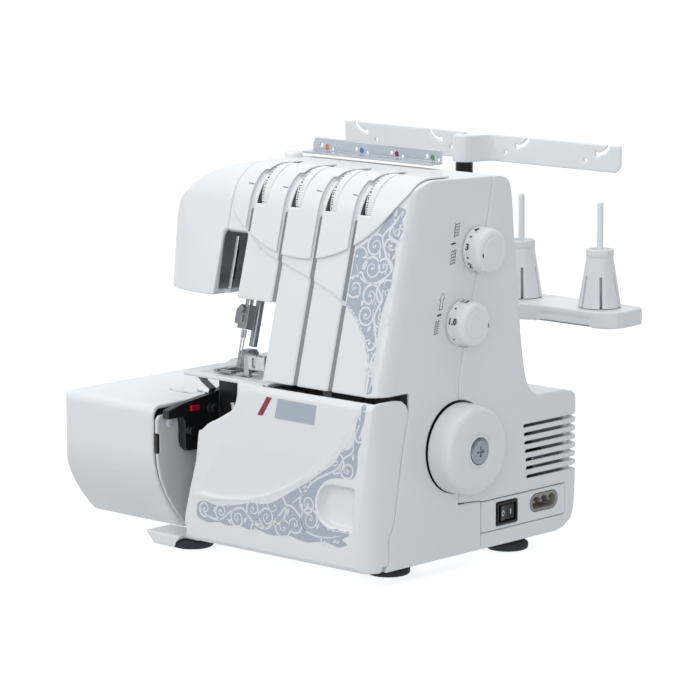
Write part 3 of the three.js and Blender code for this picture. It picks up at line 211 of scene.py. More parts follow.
def soften(node, h=0.7, passes=1, adapt=0.012, mat="white_shell", tweak=None, keep=True, post=None, pad=0):
    """A moulded version of a CAD node: its level set is blurred a little, which rounds every edge, and meshed again."""
    co, t = tri_arrays(NODES[node])
    h = h * 1e-3
    tr = vdb.createLinearTransform(voxelSize=h)
    g = vdb.FloatGrid.createLevelSetFromPolygons(co, triangles=t.astype(np.uint32), transform=tr, halfWidth=4.0)
    lo, hi = g.evalActiveVoxelBoundingBox()
    lo = [v - 2 - (pad if i == 0 else 0) for i, v in enumerate(lo)]
    shape = [hi[i] - lo[i] + 3 for i in range(3)]
    a = np.empty(shape, np.float32)
    g.copyToArray(a, ijk=lo)
    ax = [(np.arange(shape[i]) + lo[i]) * h for i in range(3)]
    if tweak:
        X = ((ax[0] - OX) * 1e3)[:, None, None]
        Y = ((ax[1] - OY) * 1e3)[None, :, None]
        Z = (ax[2] * 1e3)[None, None, :]
        a = tweak(a * 1e3, X, Y, Z).astype(np.float32) * np.float32(1e-3)
    for _ in range(passes):
        for k in range(3):
            a = 0.25 * np.roll(a, 1, k) + 0.5 * a + 0.25 * np.roll(a, -1, k)
    if post:
        X = ((ax[0] - OX) * 1e3)[:, None, None]
        Y = ((ax[1] - OY) * 1e3)[None, :, None]
        Z = (ax[2] * 1e3)[None, None, :]
        a = post(a * 1e3, X, Y, Z).astype(np.float32) * np.float32(1e-3)
    a = np.ascontiguousarray(a, np.float32)
    g2 = vdb.FloatGrid(float(g.background))
    g2.transform = tr
    g2.copyFromArray(a, ijk=lo)
    pts, tris, quads = g2.convertToPolygons(isovalue=0.0, adaptivity=adapt)
    pts, tris, quads = np.array(pts, np.float64), np.array(tris, np.int64).reshape(-1, 3), np.array(quads, np.int64).reshape(-1, 4)
    # normals from the level set's gradient
    q = pts / h - np.array(lo)
    i0 = np.clip(np.floor(q).astype(int), 1, np.array(shape) - 3)
    fr = q - i0
    grad = np.zeros((len(pts), 3))
    for dx in (0, 1):
        for dy in (0, 1):
            for dz in (0, 1):
                w = (fr[:, 0] if dx else 1 - fr[:, 0]) * (fr[:, 1] if dy else 1 - fr[:, 1]) * (fr[:, 2] if dz else 1 - fr[:, 2])
                ix, iy, iz = i0[:, 0] + dx, i0[:, 1] + dy, i0[:, 2] + dz
                grad[:, 0] += w * (a[ix + 1, iy, iz] - a[ix - 1, iy, iz])
                grad[:, 1] += w * (a[ix, iy + 1, iz] - a[ix, iy - 1, iz])
                grad[:, 2] += w * (a[ix, iy, iz + 1] - a[ix, iy, iz - 1])
    ln = np.linalg.norm(grad, axis=1, keepdims=True)
    nrm = grad / np.maximum(ln, 1e-12)
    # faces wound outwards
    f = quads if len(quads) else tris
    p0, p1, p2 = pts[f[:, 0]], pts[f[:, 1]], pts[f[:, 2]]
    if np.sum(np.einsum("ij,ij->i", np.cross(p1 - p0, p2 - p0), nrm[f[:, 0]])) < 0:
        tris, quads = tris[:, ::-1], quads[:, ::-1]
    ob = fast_mesh(node + "_moulded", pts, tris, quads, mat, nrm)
    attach(ob, BODY_OF[node])
    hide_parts(node)
    if keep:
        SURF[node] = BVHTree.FromPolygons([Vector(p) for p in pts], [list(map(int, r)) for r in tris] + [list(map(int, r)) for r in quads])
    return ob


# ------------------------------------------------------------------ small helpers
def smoothstep(x):
    x = np.clip(x, 0, 1)
    return x * x * (3 - 2 * x)


def spline(pts, n=8, closed=False):
    pts = [np.array(p, float) for p in pts]
    m = len(pts)
    out = []
    rng = m if closed else m - 1
    for i in range(rng):
        p0 = pts[(i - 1) % m] if closed or i > 0 else 2 * pts[0] - pts[1]
        p1, p2 = pts[i], pts[(i + 1) % m]
        p3 = pts[(i + 2) % m] if closed or i + 2 < m else 2 * pts[-1] - pts[-2]
        for k in range(n):
            t = k / n
            out.append(0.5 * (2 * p1 + (p2 - p0) * t + (2 * p0 - 5 * p1 + 4 * p2 - p3) * t * t + (-p0 + 3 * p1 - 3 * p2 + p3) * t ** 3))
    if not closed:
        out.append(pts[-1])
    return np.array(out)


def poly_distance(X, Z, poly):
    """Distance from grid points to a polyline in XZ, and the side (positive above or left of its direction)."""
    d = np.full(np.broadcast(X, Z).shape, 1e9)
    s = np.zeros_like(d)
    for (x0, z0), (x1, z1) in zip(poly[:-1], poly[1:]):
        ex, ez = x1 - x0, z1 - z0
        L2 = ex * ex + ez * ez + 1e-12
        t = np.clip(((X - x0) * ex + (Z - z0) * ez) / L2, 0, 1)
        dx, dz = X - (x0 + t * ex), Z - (z0 + t * ez)
        dd = np.sqrt(dx * dx + dz * dz)
        side = np.sign(ex * (Z - z0) - ez * (X - x0))
        near = dd < d
        d = np.where(near, dd, d)
        s = np.where(near, side, s)
    return d, s


AXES = {"-Y": (np.array([0, -1, 0.0]), 0, 2), "+X": (np.array([1.0, 0, 0]), 1, 2), "+Z": (np.array([0, 0, 1.0]), 0, 1), "-X": (np.array([-1.0, 0, 0]), 1, 2), "+Y": (np.array([0, 1.0, 0]), 0, 2)}


def land(node, axis, u, v, lift, hint):
    """A point of a printed mark: (u, v) mm in the plane across axis, dropped on a moulded piece and lifted a little."""
    d, iu, iv = AXES[axis]
    o = np.zeros(3)
    o[iu], o[iv] = u * 1e-3 + (OX if iu == 0 else OY), v * 1e-3 + (OY if iv == 1 else 0.0)
    k = 3 - iu - iv
    o[k] = hint[k]
    start = Vector(o + d * 0.02)
    hit, nrm, _, dist = SURF[node].ray_cast(start, Vector(-d), 0.05)
    if hit is None:
        return None
    if nrm.dot(Vector(d)) < 0:
        nrm = -nrm
    return np.array(hit) + d * lift * 1e-3 * min(3.0, 1.0 / max(0.3, abs(nrm.dot(Vector(d)))))


class Print:
    """Thin printed marks on one moulded piece, gathered into one mesh."""

    def __init__(self, name, node, axis, hint, mat, lift=0.07):
        self.name, self.node, self.axis, self.hint, self.mat, self.lift = name, node, axis, np.array(hint, float), mat, lift
        self.v, self.f = [], []

    def _add(self, uv, faces):
        pts = [land(self.node, self.axis, p[0], p[1], self.lift, self.hint) for p in uv]
        base = len(self.v)
        index = {}
        for i, p in enumerate(pts):
            if p is not None:
                index[i] = base + len(index)
                self.v.append(p)
        for fc in faces:
            if all(i in index for i in fc):
                q = [pts[i] for i in fc]
                k = 3 - AXES[self.axis][1] - AXES[self.axis][2]
                if max(p[k] for p in q) - min(p[k] for p in q) < 0.004:
                    self.f.append([index[i] for i in fc])

    def ribbon(self, pts, widths):
        pts = np.array(pts, float)
        w = np.interp(np.linspace(0, 1, len(pts)), np.linspace(0, 1, len(widths)), widths)
        t = np.gradient(pts, axis=0)
        t /= np.maximum(np.linalg.norm(t, axis=1, keepdims=True), 1e-9)
        n = np.stack([-t[:, 1], t[:, 0]], 1)
        uv = np.concatenate([pts + n * w[:, None] / 2, pts - n * w[:, None] / 2])
        m = len(pts)
        self._add(uv, [(i, i + 1, m + i + 1, m + i) for i in range(m - 1)])

    def disc(self, u, v, r, n=14, squash=1.0, inner=0.0):
        ring = [(u + r * math.cos(2 * math.pi * i / n), v + r * squash * math.sin(2 * math.pi * i / n)) for i in range(n)]
        if inner:
            ring2 = [(u + inner * math.cos(2 * math.pi * i / n), v + inner * squash * math.sin(2 * math.pi * i / n)) for i in range(n)]
            self._add(ring + ring2, [(i, (i + 1) % n, n + (i + 1) % n, n + i) for i in range(n)])
        else:
            self._add([(u, v)] + ring, [(0, 1 + i, 1 + (i + 1) % n) for i in range(n)])

    def area(self, outline, pitch=2.5):
        outline = np.array(outline, float)
        out = []
        for a, b in zip(outline, np.roll(outline, -1, 0)):
            k = max(1, int(np.linalg.norm(b - a) / pitch))
            out += [a + (b - a) * j / k for j in range(k)]
        out = np.array(out)
        lo, hi = out.min(0), out.max(0)
        gx, gz = np.meshgrid(np.arange(lo[0] + pitch / 2, hi[0], pitch), np.arange(lo[1] + pitch / 2, hi[1], pitch))
        pts = list(out) + list(np.stack([gx.ravel(), gz.ravel()], 1))
        n = len(out)
        vs, _, fs, _, _, _ = delaunay_2d_cdt([Vector(p) for p in pts], [], [list(range(n))], 1, 1e-5)
        self._add([(p.x, p.y) for p in vs], [tuple(fc) for fc in fs])

    def make(self):
        if not self.f:
            return None
        v = np.array(self.v)
        f = []
        d = AXES[self.axis][0]
        for fc in self.f:
            n = np.cross(v[fc[1]] - v[fc[0]], v[fc[2]] - v[fc[0]])
            f.append(fc if n.dot(d) > 0 else fc[::-1])
        ob = new_mesh(self.name, v, f, self.mat)
        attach(ob, BODY_OF[self.node])
        return ob


def spiral(p, c, turn, turns=1.6, end=0.12, n=34):
    """A scroll that starts at p and winds in round c."""
    p, c = np.array(p, float), np.array(c, float)
    R = np.linalg.norm(p - c)
    a0 = math.atan2(p[1] - c[1], p[0] - c[0])
    t = np.linspace(0, 1, n)
    r = R * (end + (1 - end) * (1 - t) ** 0.85)
    a = a0 + turn * 2 * math.pi * turns * t
    return np.stack([c[0] + r * np.cos(a), c[1] + r * np.sin(a)], 1)


def glyphs(text, size, name="g", bold=0.0):
    """Outline and faces of a short mark made of digits, in mm, centred."""
    cu = bpy.data.curves.new(name, "FONT")
    cu.body = text
    cu.size = size
    cu.offset = bold * size
    cu.align_x, cu.align_y = "CENTER", "CENTER"
    cu.resolution_u = 2
    ob = bpy.data.objects.new(name, cu)
    scene.collection.objects.link(ob)
    bpy.context.view_layer.update()
    me = bpy.data.meshes.new_from_object(ob.evaluated_get(bpy.context.evaluated_depsgraph_get()))
    v = np.array([tuple(p.co) for p in me.vertices])
    f = [tuple(p.vertices) for p in me.polygons]
    bpy.data.objects.remove(ob)
    bpy.data.curves.remove(cu)
    bpy.data.meshes.remove(me)
    return v[:, :2], f


def lathe(name, node, profile, axis_c, segs, mat, ripple=None, axis="X"):
    """A turned piece about an axis parallel to X or Z through axis_c (m). profile is (distance along, radius) in m."""
    prof = np.array(profile, float)
    v, f = [], []
    m = len(prof)
    for j in range(segs):
        a = 2 * math.pi * j / segs
        for i, (s, r) in enumerate(prof):
            rr = r + (ripple(s, r, a) if ripple else 0.0)
            if axis == "X":
                v.append((s, axis_c[1] + rr * math.cos(a), axis_c[2] + rr * math.sin(a)))
            else:
                v.append((axis_c[0] + rr * math.cos(a), axis_c[1] + rr * math.sin(a), s))
    for j in range(segs):
        k = (j + 1) % segs
        for i in range(m - 1):
            f.append((j * m + i, j * m + i + 1, k * m + i + 1, k * m + i))
    ob = new_mesh(name, v, f, mat)
    # close the ends that stop short of the axis and merge those on it
    import bmesh
    bm = bmesh.new()
    bm.from_mesh(ob.data)
    bmesh.ops.remove_doubles(bm, verts=bm.verts, dist=1e-7)
    holes = [e for e in bm.edges if e.is_boundary]
    if holes:
        bmesh.ops.holes_fill(bm, edges=holes)
    bmesh.ops.recalc_face_normals(bm, faces=bm.faces)
    bm.to_mesh(ob.data)
    bm.free()
    ob.data.polygons.foreach_set("use_smooth", [True] * len(ob.data.polygons))
    ob.data.update()
    if node:
        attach(ob, BODY_OF[node])
        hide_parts(node)
    return ob


def crisp(ob, angle=32):
    """Smooth shading with hard edges over the angle."""
    bpy.context.view_layer.objects.active = ob
    ob.select_set(True)
    bpy.ops.object.shade_smooth_by_angle(angle=math.radians(angle))
    ob.select_set(False)


def rounded_profile(pts, r=0.4, n=4):
    """Fillets the inner corners of an open profile in mm."""
    out = [np.array(pts[0], float)]
    for a, b, c in zip(pts[:-2], pts[1:-1], pts[2:]):
        a, b, c = (np.array(p[:2], float) for p in (a, b, c))
        u, w = a - b, c - b
        lu, lw = np.linalg.norm(u), np.linalg.norm(w)
        k = min(r, lu * 0.45, lw * 0.45)
        s, e = b + u / lu * k, b + w / lw * k
        for i in range(n + 1):
            t = i / n
            out.append((1 - t) ** 2 * s + 2 * t * (1 - t) * b + t * t * e)
    out.append(np.array(pts[-1][:2], float))
    return out


# ------------------------------------------------------------------ casings
CREASE = [(-4, 229), (3.7, 225.8), (12.5, 219.4), (20.4, 214.7), (32.5, 210.3), (45.5, 206.8), (64.4, 201.3), (79.5, 196.3), (93.9, 191.3), (110, 182.4), (118.6, 174), (125.5, 165.3), (129.4, 158.8), (131.6, 147), (132.7, 133.4), (132.9, 120)]


def shift_back(a, d, h=0.75):
    """The level set moved along +Y by d mm (an array as large as a)."""
    n = a.shape[1]
    at = np.arange(n, dtype=np.float32)[None, :, None] - (d / h).astype(np.float32)
    at = np.clip(at, 0, n - 1.001)
    i0 = at.astype(np.int32)
    fr = at - i0
    return np.take_along_axis(a, i0, 1) * (1 - fr) + np.take_along_axis(a, i0 + 1, 1) * fr


def front_relief(a, X, Y, Z):
    # soft step under the curved crease, only on the leaning front
    x1, z1 = X[:, 0, 0][:, None], Z[0, 0][None, :]
    d, s = poly_distance(x1, z1, spline(CREASE, 3))
    below = smoothstep((-(s * d) + 0.7) / 1.5) * smoothstep((x1 + 3) / 8) * (x1 < 141) * smoothstep((228 - z1) / 6)
    y_front = np.interp(Z[0, 0], [129, 181, 215, 245], [-105.5, -92.3, -83.2, -75.6])
    near = np.clip(1 - (Y[0, :, 0][:, None] - y_front[None, :] - 6.0) / 5.0, 0, 1)
    return shift_back(a, (1.35 * below)[:, None, :] * near[None, :, :])


RIDGE = [(-16.5, 43.4), (-1.3, 43.6), (15, 45.0), (30.8, 47.4), (46, 51.6), (62.0, 57.5), (75, 63.4), (86.4, 69.2), (98, 76.2), (107.3, 83), (115.6, 89.8), (121.6, 96.5), (125.8, 103.6), (128.9, 111), (131.4, 118), (133.4, 125.6)]
F_LINE = [(12.1, 107.1), (4.5, 89.4), (-5.7, 67.2), (-16.1, 44.8)]
G_LINE = [(34.4, 127), (34.6, 108.2), (29.6, 84.5), (22.6, 52.5)]


def cover_relief(a, X, Y, Z):
    x1, z1 = X[:, 0, 0][:, None], Z[0, 0][None, :]
    d, s = poly_distance(x1, z1, spline(RIDGE, 3))
    bump = np.exp(-((d / 1.3) ** 2)) * 0.55
    # the surface beside the badge turns away a little, most at its top
    dg, sg = poly_distance(x1, z1, G_LINE)
    side = np.where(sg < 0, dg, 0) * (z1 > 52) * smoothstep((x1 + 10) / 12)
    facet = np.minimum(side * 0.13, 1.5) * smoothstep((z1 - 58) / 50)
    near = np.clip(1 - (Y[0, :, 0] + 104.8) / 1.2, 0, 1)
    return a + ((facet - bump)[:, None, :]) * near[None, :, None]


soften("front_casing", 0.75, 1, post=front_relief)
soften("rear_casing", 0.8, 1)
soften("face_cover", 0.75, 1)
soften("tension_cover", 0.5, 1, adapt=0.006)
def cover_left(a, X, Y, Z):
    # the turned-back facet reaches on to a slanting left edge
    zz = Z[0, 0]
    xl = np.interp(zz, [12, 15, 22, 30, 40, 48, 56, 66, 76, 84, 90], [-29.6, -31.8, -33, -32.4, -31.2, -29.4, -27.4, -25.2, -24.7, -24.6, -23.6])[None, None, :]
    t = np.clip((zz - 44) / 63.4, 0, 1)
    fold = -16.4 + 28.7 * t
    yf = (np.interp(zz, [12, 20, 44, 107.4], [-108.6, -110.2, -110.4, -109.0]) + 0.2 * np.maximum(0, fold[None, :] - X[:, :, 0]) * smoothstep((zz - 22) / 24)[None, :])[:, None, :]
    q = np.maximum(np.maximum(xl - X, X + 17), np.maximum(yf + 0.1 - Y, Y - yf - 2.6))
    q = np.maximum(q, np.maximum(12.5 - Z, Z - 87.5))
    return np.minimum(a, q)


soften("front_cover", 0.75, 1, post=cover_relief, adapt=0.006, tweak=cover_left, pad=11)
soften("extension_block", 0.8, 1)
def plate_fill(a, X, Y, Z):
    curve = np.interp(Z[0, 0], [12.6, 24.4, 36, 47.5, 57, 66.4], [-82, -91.8, -99.4, -104.6, -107, -108])[None, None, :]
    q = np.maximum(np.maximum(curve - Y, Y + 80), np.maximum(Z - 66.8, 11.0 - Z))
    return np.minimum(a, np.maximum(q, np.abs(X + 62.5) - 1.2))


soften("block_end_plate", 0.5, 1, mat="side_plate", tweak=plate_fill)
soften("bed_casing", 0.9, 1, keep=False)
soften("base_tray", 0.8, 1, keep=False)
soften("cloth_plate", 0.6, 1)
soften("spool_stand", 0.8, 1)
soften("thread_tree", 0.5, 1)
soften("electrical_panel", 0.5, 1)
for i in range(4):
    soften("cone_holder_%d" % (i + 1), 0.45, 1, mat="side_plate", keep=False)
for n in ("foot_front_left", "foot_front_right", "foot_rear_left", "foot_rear_right"):
    soften(n, 0.5, 1, mat="rubber", keep=False)

for n, h, m in (
    ("needle_plate", 0.4, "plate_satin"), ("feed_dog", 0.25, "steel"), ("needle_clamp", 0.3, "foot_satin"), ("needle_bar", 0.35, "steel"), ("presser_bar", 0.35, "foot_satin"),
    ("presser_foot", 0.3, "foot_satin"), ("presser_lifter", 0.4, "white_shell"), ("needle_thread_guide", 0.3, "chrome"), ("upper_knife", 0.35, "steel"), ("lower_knife", 0.35, "steel"),
    ("lower_looper", 0.35, "steel"), ("upper_looper", 0.35, "steel"), ("looper_carrier", 0.5, "black_plastic"), ("release_button", 0.3, "red_plastic"), ("looper_thread_guide", 0.25, "chrome"),
    ("top_thread_guide", 0.3, "guide_plate"), ("power_inlet", 0.35, "inlet_brown"), ("switch_bezel", 0.35, "switch_black"), ("power_switch", 0.35, "switch_black"), ("block_latch", 0.3, "black_plastic"),
    ("pole_lower_tube", 0.35, "chrome"), ("pole_upper_tube", 0.35, "chrome"), ("motor", 0.7, "motor_can"), ("motor_pulley", 0.5, "steel"), ("cover_hinge_rod", 0.4, "steel"),
):
    soften(n, h, 1, mat=m, keep=n in ("power_switch", "top_thread_guide", "block_latch", "needle_plate"))

# pieces that stay as the CAD made them
for n, m in (("machine_frame", "cast_frame"), ("main_shaft", "steel"), ("drive_belt", "belt_rubber"), ("left_needle", "steel"), ("right_needle", "steel")):
    o = NODES[n]
    o.data.materials.clear()
    o.data.materials.append(M[m])
    bv = o.modifiers.new("edge", "BEVEL")
    bv.width, bv.segments, bv.limit_method, bv.angle_limit = (0.00004 if "needle" in n else 0.0004), 2, "ANGLE", math.radians(40)
    bv.use_clamp_overlap = True
    for p in o.data.polygons:
        p.use_smooth = False

# ------------------------------------------------------------------ turned pieces
def centre(node):
    lo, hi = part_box(node)
    return (np.array(lo) + np.array(hi)) / 2, np.array(lo), np.array(hi)


def mm_profile(x0, pts, r=0.4, n=4):
    return [(x0 + p[0] * 1e-3, p[1] * 1e-3) for p in rounded_profile(pts, r, n)]


DIALS = ["left_needle_tension_dial", "right_needle_tension_dial", "upper_looper_tension_dial", "lower_looper_tension_dial"]
for k, n in enumerate(DIALS):
    c, lo, hi = centre(n)
    R = (hi[2] - lo[2]) / 2 * 1e3
    W = (hi[0] - lo[0]) * 1e3
    pts = [(0, 0), (0, R - 2.6), (0.5, R - 1.0), (1.0, R - 0.45), (3.3, R - 0.45), (3.6, R - 0.15), (W - 1.2, R - 0.15), (W, R - 1.1), (W, 0)]
    prof = mm_profile(lo[0], pts, 0.5, 3)

    def knurl(s, r, a, lo=lo, R=R, W=W):
        t = (s - lo[0]) * 1e3
        if r < (R - 0.6) * 1e-3 or t < 3.5 or t > W - 1.0:
            return 0.0
        return 0.00016 * (math.cos(a * 120) - 1) / 1

    ob = lathe(n + "_drum", n, prof, c, 480, "dial_white", knurl)
    crisp(ob, 40)
    v, f = [], []
    for d in range(0, 10):
        a = math.radians(188 + k * 2 - d * 12)
        gv, gf = glyphs(str(d), 3.3, bold=0.03)
        base = len(v)
        rr = (R - 0.45 + 0.05) * 1e-3
        for px, py in gv:
            aa = a - py * 1e-3 / rr * 1.0
            v.append((lo[0] + (2.15 + px * 0.9) * 1e-3, c[1] + rr * math.cos(aa), c[2] + rr * math.sin(aa)))
        f += [tuple(base + i for i in q)[::-1] for q in gf]
        # a dash between two numbers
        base = len(v)
        for px, py in ((-0.9, -0.3), (0.9, -0.3), (0.9, 0.3), (-0.9, 0.3)):
            aa = a - math.radians(6) - py * 1e-3 / rr
            v.append((lo[0] + (2.15 + px) * 1e-3, c[1] + rr * math.cos(aa), c[2] + rr * math.sin(aa)))
        f.append((base + 3, base + 2, base + 1, base))
    num = new_mesh(n + "_numbers", v, f, "ink_black", smooth=False)
    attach(num, BODY_OF[n])

for n, text in (("stitch_length_dial", "N 1 2 3 4 R"), ("differential_feed_dial", "0.7 N 1.5 2")):
    c, lo, hi = centre(n)
    R = (hi[2] - lo[2]) / 2 * 1e3
    L = (hi[0] - lo[0]) * 1e3
    pts = [(0, 0), (0, 3.6), (12.9, 3.6), (12.9, R), (L - 4.4, R - 0.5), (L - 2.2, R - 1.1), (L - 0.7, R - 2.7), (L - 0.1, R - 4.9), (L - 0.5, R - 6.0), (L - 0.7, R - 6.4), (L - 0.1, R - 6.9), (L, R - 8), (L, 0)]
    prof = mm_profile(lo[0], pts, 0.8, 4)

    def grip(s, r, a, lo=lo, R=R, L=L):
        t = (s - lo[0]) * 1e3
        if t < 17.5 or t > L - 3.6 or r < (R - 2) * 1e-3:
            return 0.0
        return 0.00005 * (math.cos(a * 48) - 1)

    ob = lathe(n + "_knob", n, prof, c, 288, "dial_white", grip)
    crisp(ob, 40)
    v, f = [], []
    labels = [("4", 114), (".", 140), ("3", 168), (".", 194), ("2", 218), (".", 242), ("1", 266)] if n == "stitch_length_dial" else [("1.5", 100), (".", 134), ("1.0", 169), (".", 216), ("0.7", 256)]
    rr = (R + 0.05) * 1e-3
    for text_, deg in labels:
        a = math.radians(deg)
        base = len(v)
        if text_ == ".":
            gv = [(1.9 + 0.75 * math.cos(2 * math.pi * i / 12), 0.75 * math.sin(2 * math.pi * i / 12)) for i in range(12)]
            gf = [tuple(range(12))]
        else:
            gv, gf = glyphs(text_, 6.2, bold=0.035)
            gv = gv - np.array([gv[:, 0].min(), 0.0])
        for px, py in gv:
            aa = a - py * 1e-3 / rr
            v.append((lo[0] + (15.2 + px) * 1e-3, c[1] + rr * math.cos(aa), c[2] + rr * math.sin(aa)))
        f += [tuple(base + i for i in q)[::-1] for q in gf]
    # index tick on the face
    ta = math.radians(190 if n == "stitch_length_dial" else 352)
    rt_ = (R - 4.6) * 1e-3
    base = len(v)
    for dr, dt in ((-0.5, -1.4), (0.5, -1.4), (0.5, 1.4), (-0.5, 1.4)):
        rad, tt = rt_ + dr * 1e-3, ta + dt * 1e-3 / rt_
        v.append((hi[0] + 0.00005, c[1] + rad * math.cos(tt), c[2] + rad * math.sin(tt)))
    f.append((base, base + 1, base + 2, base + 3))
    num = new_mesh(n + "_numbers", v, f, "ink_black", smooth=False)
    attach(num, BODY_OF[n])

c, lo, hi = centre("handwheel")
R = (hi[2] - lo[2]) / 2 * 1e3
L = (hi[0] - lo[0]) * 1e3
wheel = [(0, 5.5), (0, 18), (3.4, 18), (3.4, R), (L - 7.6, R - 0.2), (L - 4.4, R - 0.8), (L - 2.2, R - 2.2), (L - 0.9, R - 4.2), (L - 0.3, R - 7), (L - 0.05, R - 10.4), (L, R - 14), (L, 12.3), (L - 0.9, 11.9), (L - 0.9, 11.2), (L - 0.1, 10.9), (L - 0.1, 9.5), (L - 2, 9.5), (L - 2, 5.5), (0, 5.5)]
ob = lathe("handwheel_rim", "handwheel", mm_profile(lo[0], wheel, 0.7, 4), c, 256, "white_shell", lambda s, r, a: 0.0)
crisp(ob, 40)


x_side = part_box("front_casing")[1][0]
# painted shade: a flat black ring on the casing side round the handwheel stands in for the shade in the gap behind the
# wheel
v, f = [], []
for i in range(96):
    a = 2 * math.pi * i / 96
    for rr in (R - 8, R + 1.0):
        v.append((x_side + 0.00008, c[1] + rr * 1e-3 * math.cos(a) + 0.0002, c[2] + rr * 1e-3 * math.sin(a) + 0.0004))
for i in range(96):
    k = (i + 1) % 96
    f.append((2 * i, 2 * i + 1, 2 * k + 1, 2 * k))
ring_painted_shade = new_mesh("handwheel_gap_painted_shade", v, f, "switch_black", smooth=False)
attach(ring_painted_shade, BODY_OF["front_casing"])


def cross_recess(a, X, Y, Z, c=c):
    cy, cz = (c[1] - OY) * 1e3, c[2] * 1e3
    y, z = np.abs(Y - cy), np.abs(Z - cz)
    arm = np.minimum(np.maximum(y - 3.6, z - 0.8), np.maximum(z - 3.6, y - 0.8)) + 0 * X
    xf = (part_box("handwheel_screw")[1][0] - OX) * 1e3
    cut = np.maximum(arm, (xf - 1.2) - X)
    return np.maximum(a, -cut)


soften("handwheel_screw", 0.25, 1, mat="screw_steel", tweak=cross_recess)


def coin_slot(a, X, Y, Z):
    lo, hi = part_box("presser_pressure_dial")
    cx, cy = ((lo[0] + hi[0]) / 2 - OX) * 1e3, ((lo[1] + hi[1]) / 2 - OY) * 1e3
    top = hi[2] * 1e3
    cut = np.maximum(np.maximum(np.abs(X - cx) - 5.0, np.abs(Y - cy) - 0.7), (top - 1.2) - Z)
    return np.maximum(a, -cut)


soften("presser_pressure_dial", 0.3, 1, mat="dial_white", tweak=coin_slot)
_c, _lo, _hi2 = centre("presser_pressure_dial")
cap = Print("presser_dial_cap", "presser_pressure_dial", "+Z", _hi2, "presser_cap", 0.05)
cap.disc((_c[0] - OX) * 1e3, (_c[1] - OY) * 1e3, 4.9, 28)
cap.make()

# ------------------------------------------------------------------ printed ornament on the cover and the tower
HINT_F = T(60, -112, 60)
field = Print("ornament_field_cover", "front_cover", "-Y", HINT_F, "ornament_field", 0.05)
F_COVER = [(-17, 34), (-17.2, 37.2), (-13.4, 39.8), (-8, 40.4), (-1, 39.2), (4.7, 39.2), (18.7, 41.2), (34.9, 45.2), (48.7, 46.3), (57.4, 49.6), (64.5, 53.5), (77.7, 61.1), (88.7, 67.6), (99.6, 74.9), (110.3, 82), (115.4, 88.6), (118.8, 93.8), (123, 93.6), (126, 95.5), (128.4, 104), (130.4, 115.6), (131.8, 122), (134.6, 125), (137, 122.6), (136.6, 117.6), (135.7, 112), (133.4, 106), (134.7, 99.9), (131.9, 93), (132.4, 85), (130.7, 77), (126, 73.6), (117.4, 73.4), (110.4, 72.4), (104.3, 69.9), (97.9, 63.9), (94.9, 55.4), (96.3, 46.2), (102.4, 40.2), (110.2, 37.8), (118, 39.4), (125.1, 39.3), (127, 36), (120.8, 32.2), (125.8, 29.5), (117.3, 26.5), (108, 28.2), (99.4, 27.6), (89, 25.8), (79.1, 26.6), (71, 28), (63.2, 26.6), (53, 25.8), (42.4, 27.7), (33, 26.4), (23.8, 28.2), (14, 26.4), (5, 27.6), (-5, 26), (-14, 27.4), (-17.4, 30.4)]
field.area(spline(F_COVER, 3, closed=True), 2.2)
field.make()
line = Print("ornament_line_cover", "front_cover", "-Y", HINT_F, "ornament_line", 0.11)
stem = spline([(-15, 36.5), (-6, 30.4), (6, 29.6), (16, 36.6), (27, 40.4), (38, 32), (50, 29.6), (60, 38), (70, 48.4), (80, 44), (86, 34.5), (96, 31.4), (108, 31.8), (120, 34.8)], 10)
line.ribbon(stem, [0.5, 1.5, 1.3, 1.7, 1.4, 1.7, 1.4, 1.7, 1.4, 1.1, 0.5])
stem2 = spline([(74, 50.5), (84, 58.5), (91, 66.4), (102, 73.2), (113, 78.6), (120, 87), (127.2, 92.6), (128, 101.6), (131.6, 110), (133.4, 120.5)], 10)
line.ribbon(stem2, [0.6, 1.6, 1.3, 1.7, 1.3, 1.5, 1.2, 1.3, 1.0, 0.4])
for p, cc, d, tn in (((-6, 30.4), (-9.4, 35.2), -1, 1.4), ((6, 29.6), (6.4, 35.4), -1, 1.5), ((20, 39), (22.6, 32.6), 1, 1.6), ((33, 36.6), (37.4, 41.6), -1, 1.4), ((50, 29.6), (50.6, 37.4), -1, 1.7), ((44, 30.2), (39.6, 27.6), 1, 1.1), ((62, 40), (66.8, 32.8), 1, 1.6), ((56, 33.4), (57.4, 46.6), 1, 1.2), ((82, 41.6), (76.6, 36.4), -1, 1.4), ((88, 33), (91, 41.8), -1, 1.8), ((103, 31.4), (104.4, 28.6), 1, 0.9), ((84, 58.5), (88.2, 52), 1, 1.6), ((91, 66.4), (84.6, 62.8), 1, 1.1), ((109, 76.4), (112.6, 84.4), 1, 1.3), ((118, 84), (123.4, 79.6), 1, 1.6), ((127.6, 96), (121.6, 96.6), 1, 1.4), ((129.4, 104.6), (133, 102.6), 1, 1.0), ((132.4, 114), (129.8, 114.4), 1, 1.1)):
    line.ribbon(spiral(p, cc, d, tn), [1.3, 1.5, 1.1, 0.8, 0.7])
    line.disc(cc[0], cc[1], 0.9)
for x, z, a, L in ((-1, 33.6, 50, 6), (12.6, 31, -40, 5.4), (14, 39.6, 130, 4.4), (29, 30, 60, 6), (44, 36, 100, 6), (70, 41.6, 75, 5.4), (84.5, 47.4, 110, 5.4), (97.4, 36, 60, 5), (112.5, 29.4, 10, 5), (118.6, 31.2, 200, 4), (96, 76.2, -20, 4.6), (106.5, 79.6, 100, 4), (128.6, 86.4, 95, 5.4), (117.8, 92.4, 130, 4.4), (100, 44, 110, 4.2)):
    t = np.linspace(0, 1, 12)
    ca, sa = math.cos(math.radians(a)), math.sin(math.radians(a))
    bend = np.sin(t * math.pi) * 0.5
    pts = np.stack([x + L * t * ca - bend * sa, z + L * t * sa + bend * ca], 1)
    line.ribbon(pts, [0.15, 1.4, 2.1, 1.8, 1.0, 0.1])
line.make()

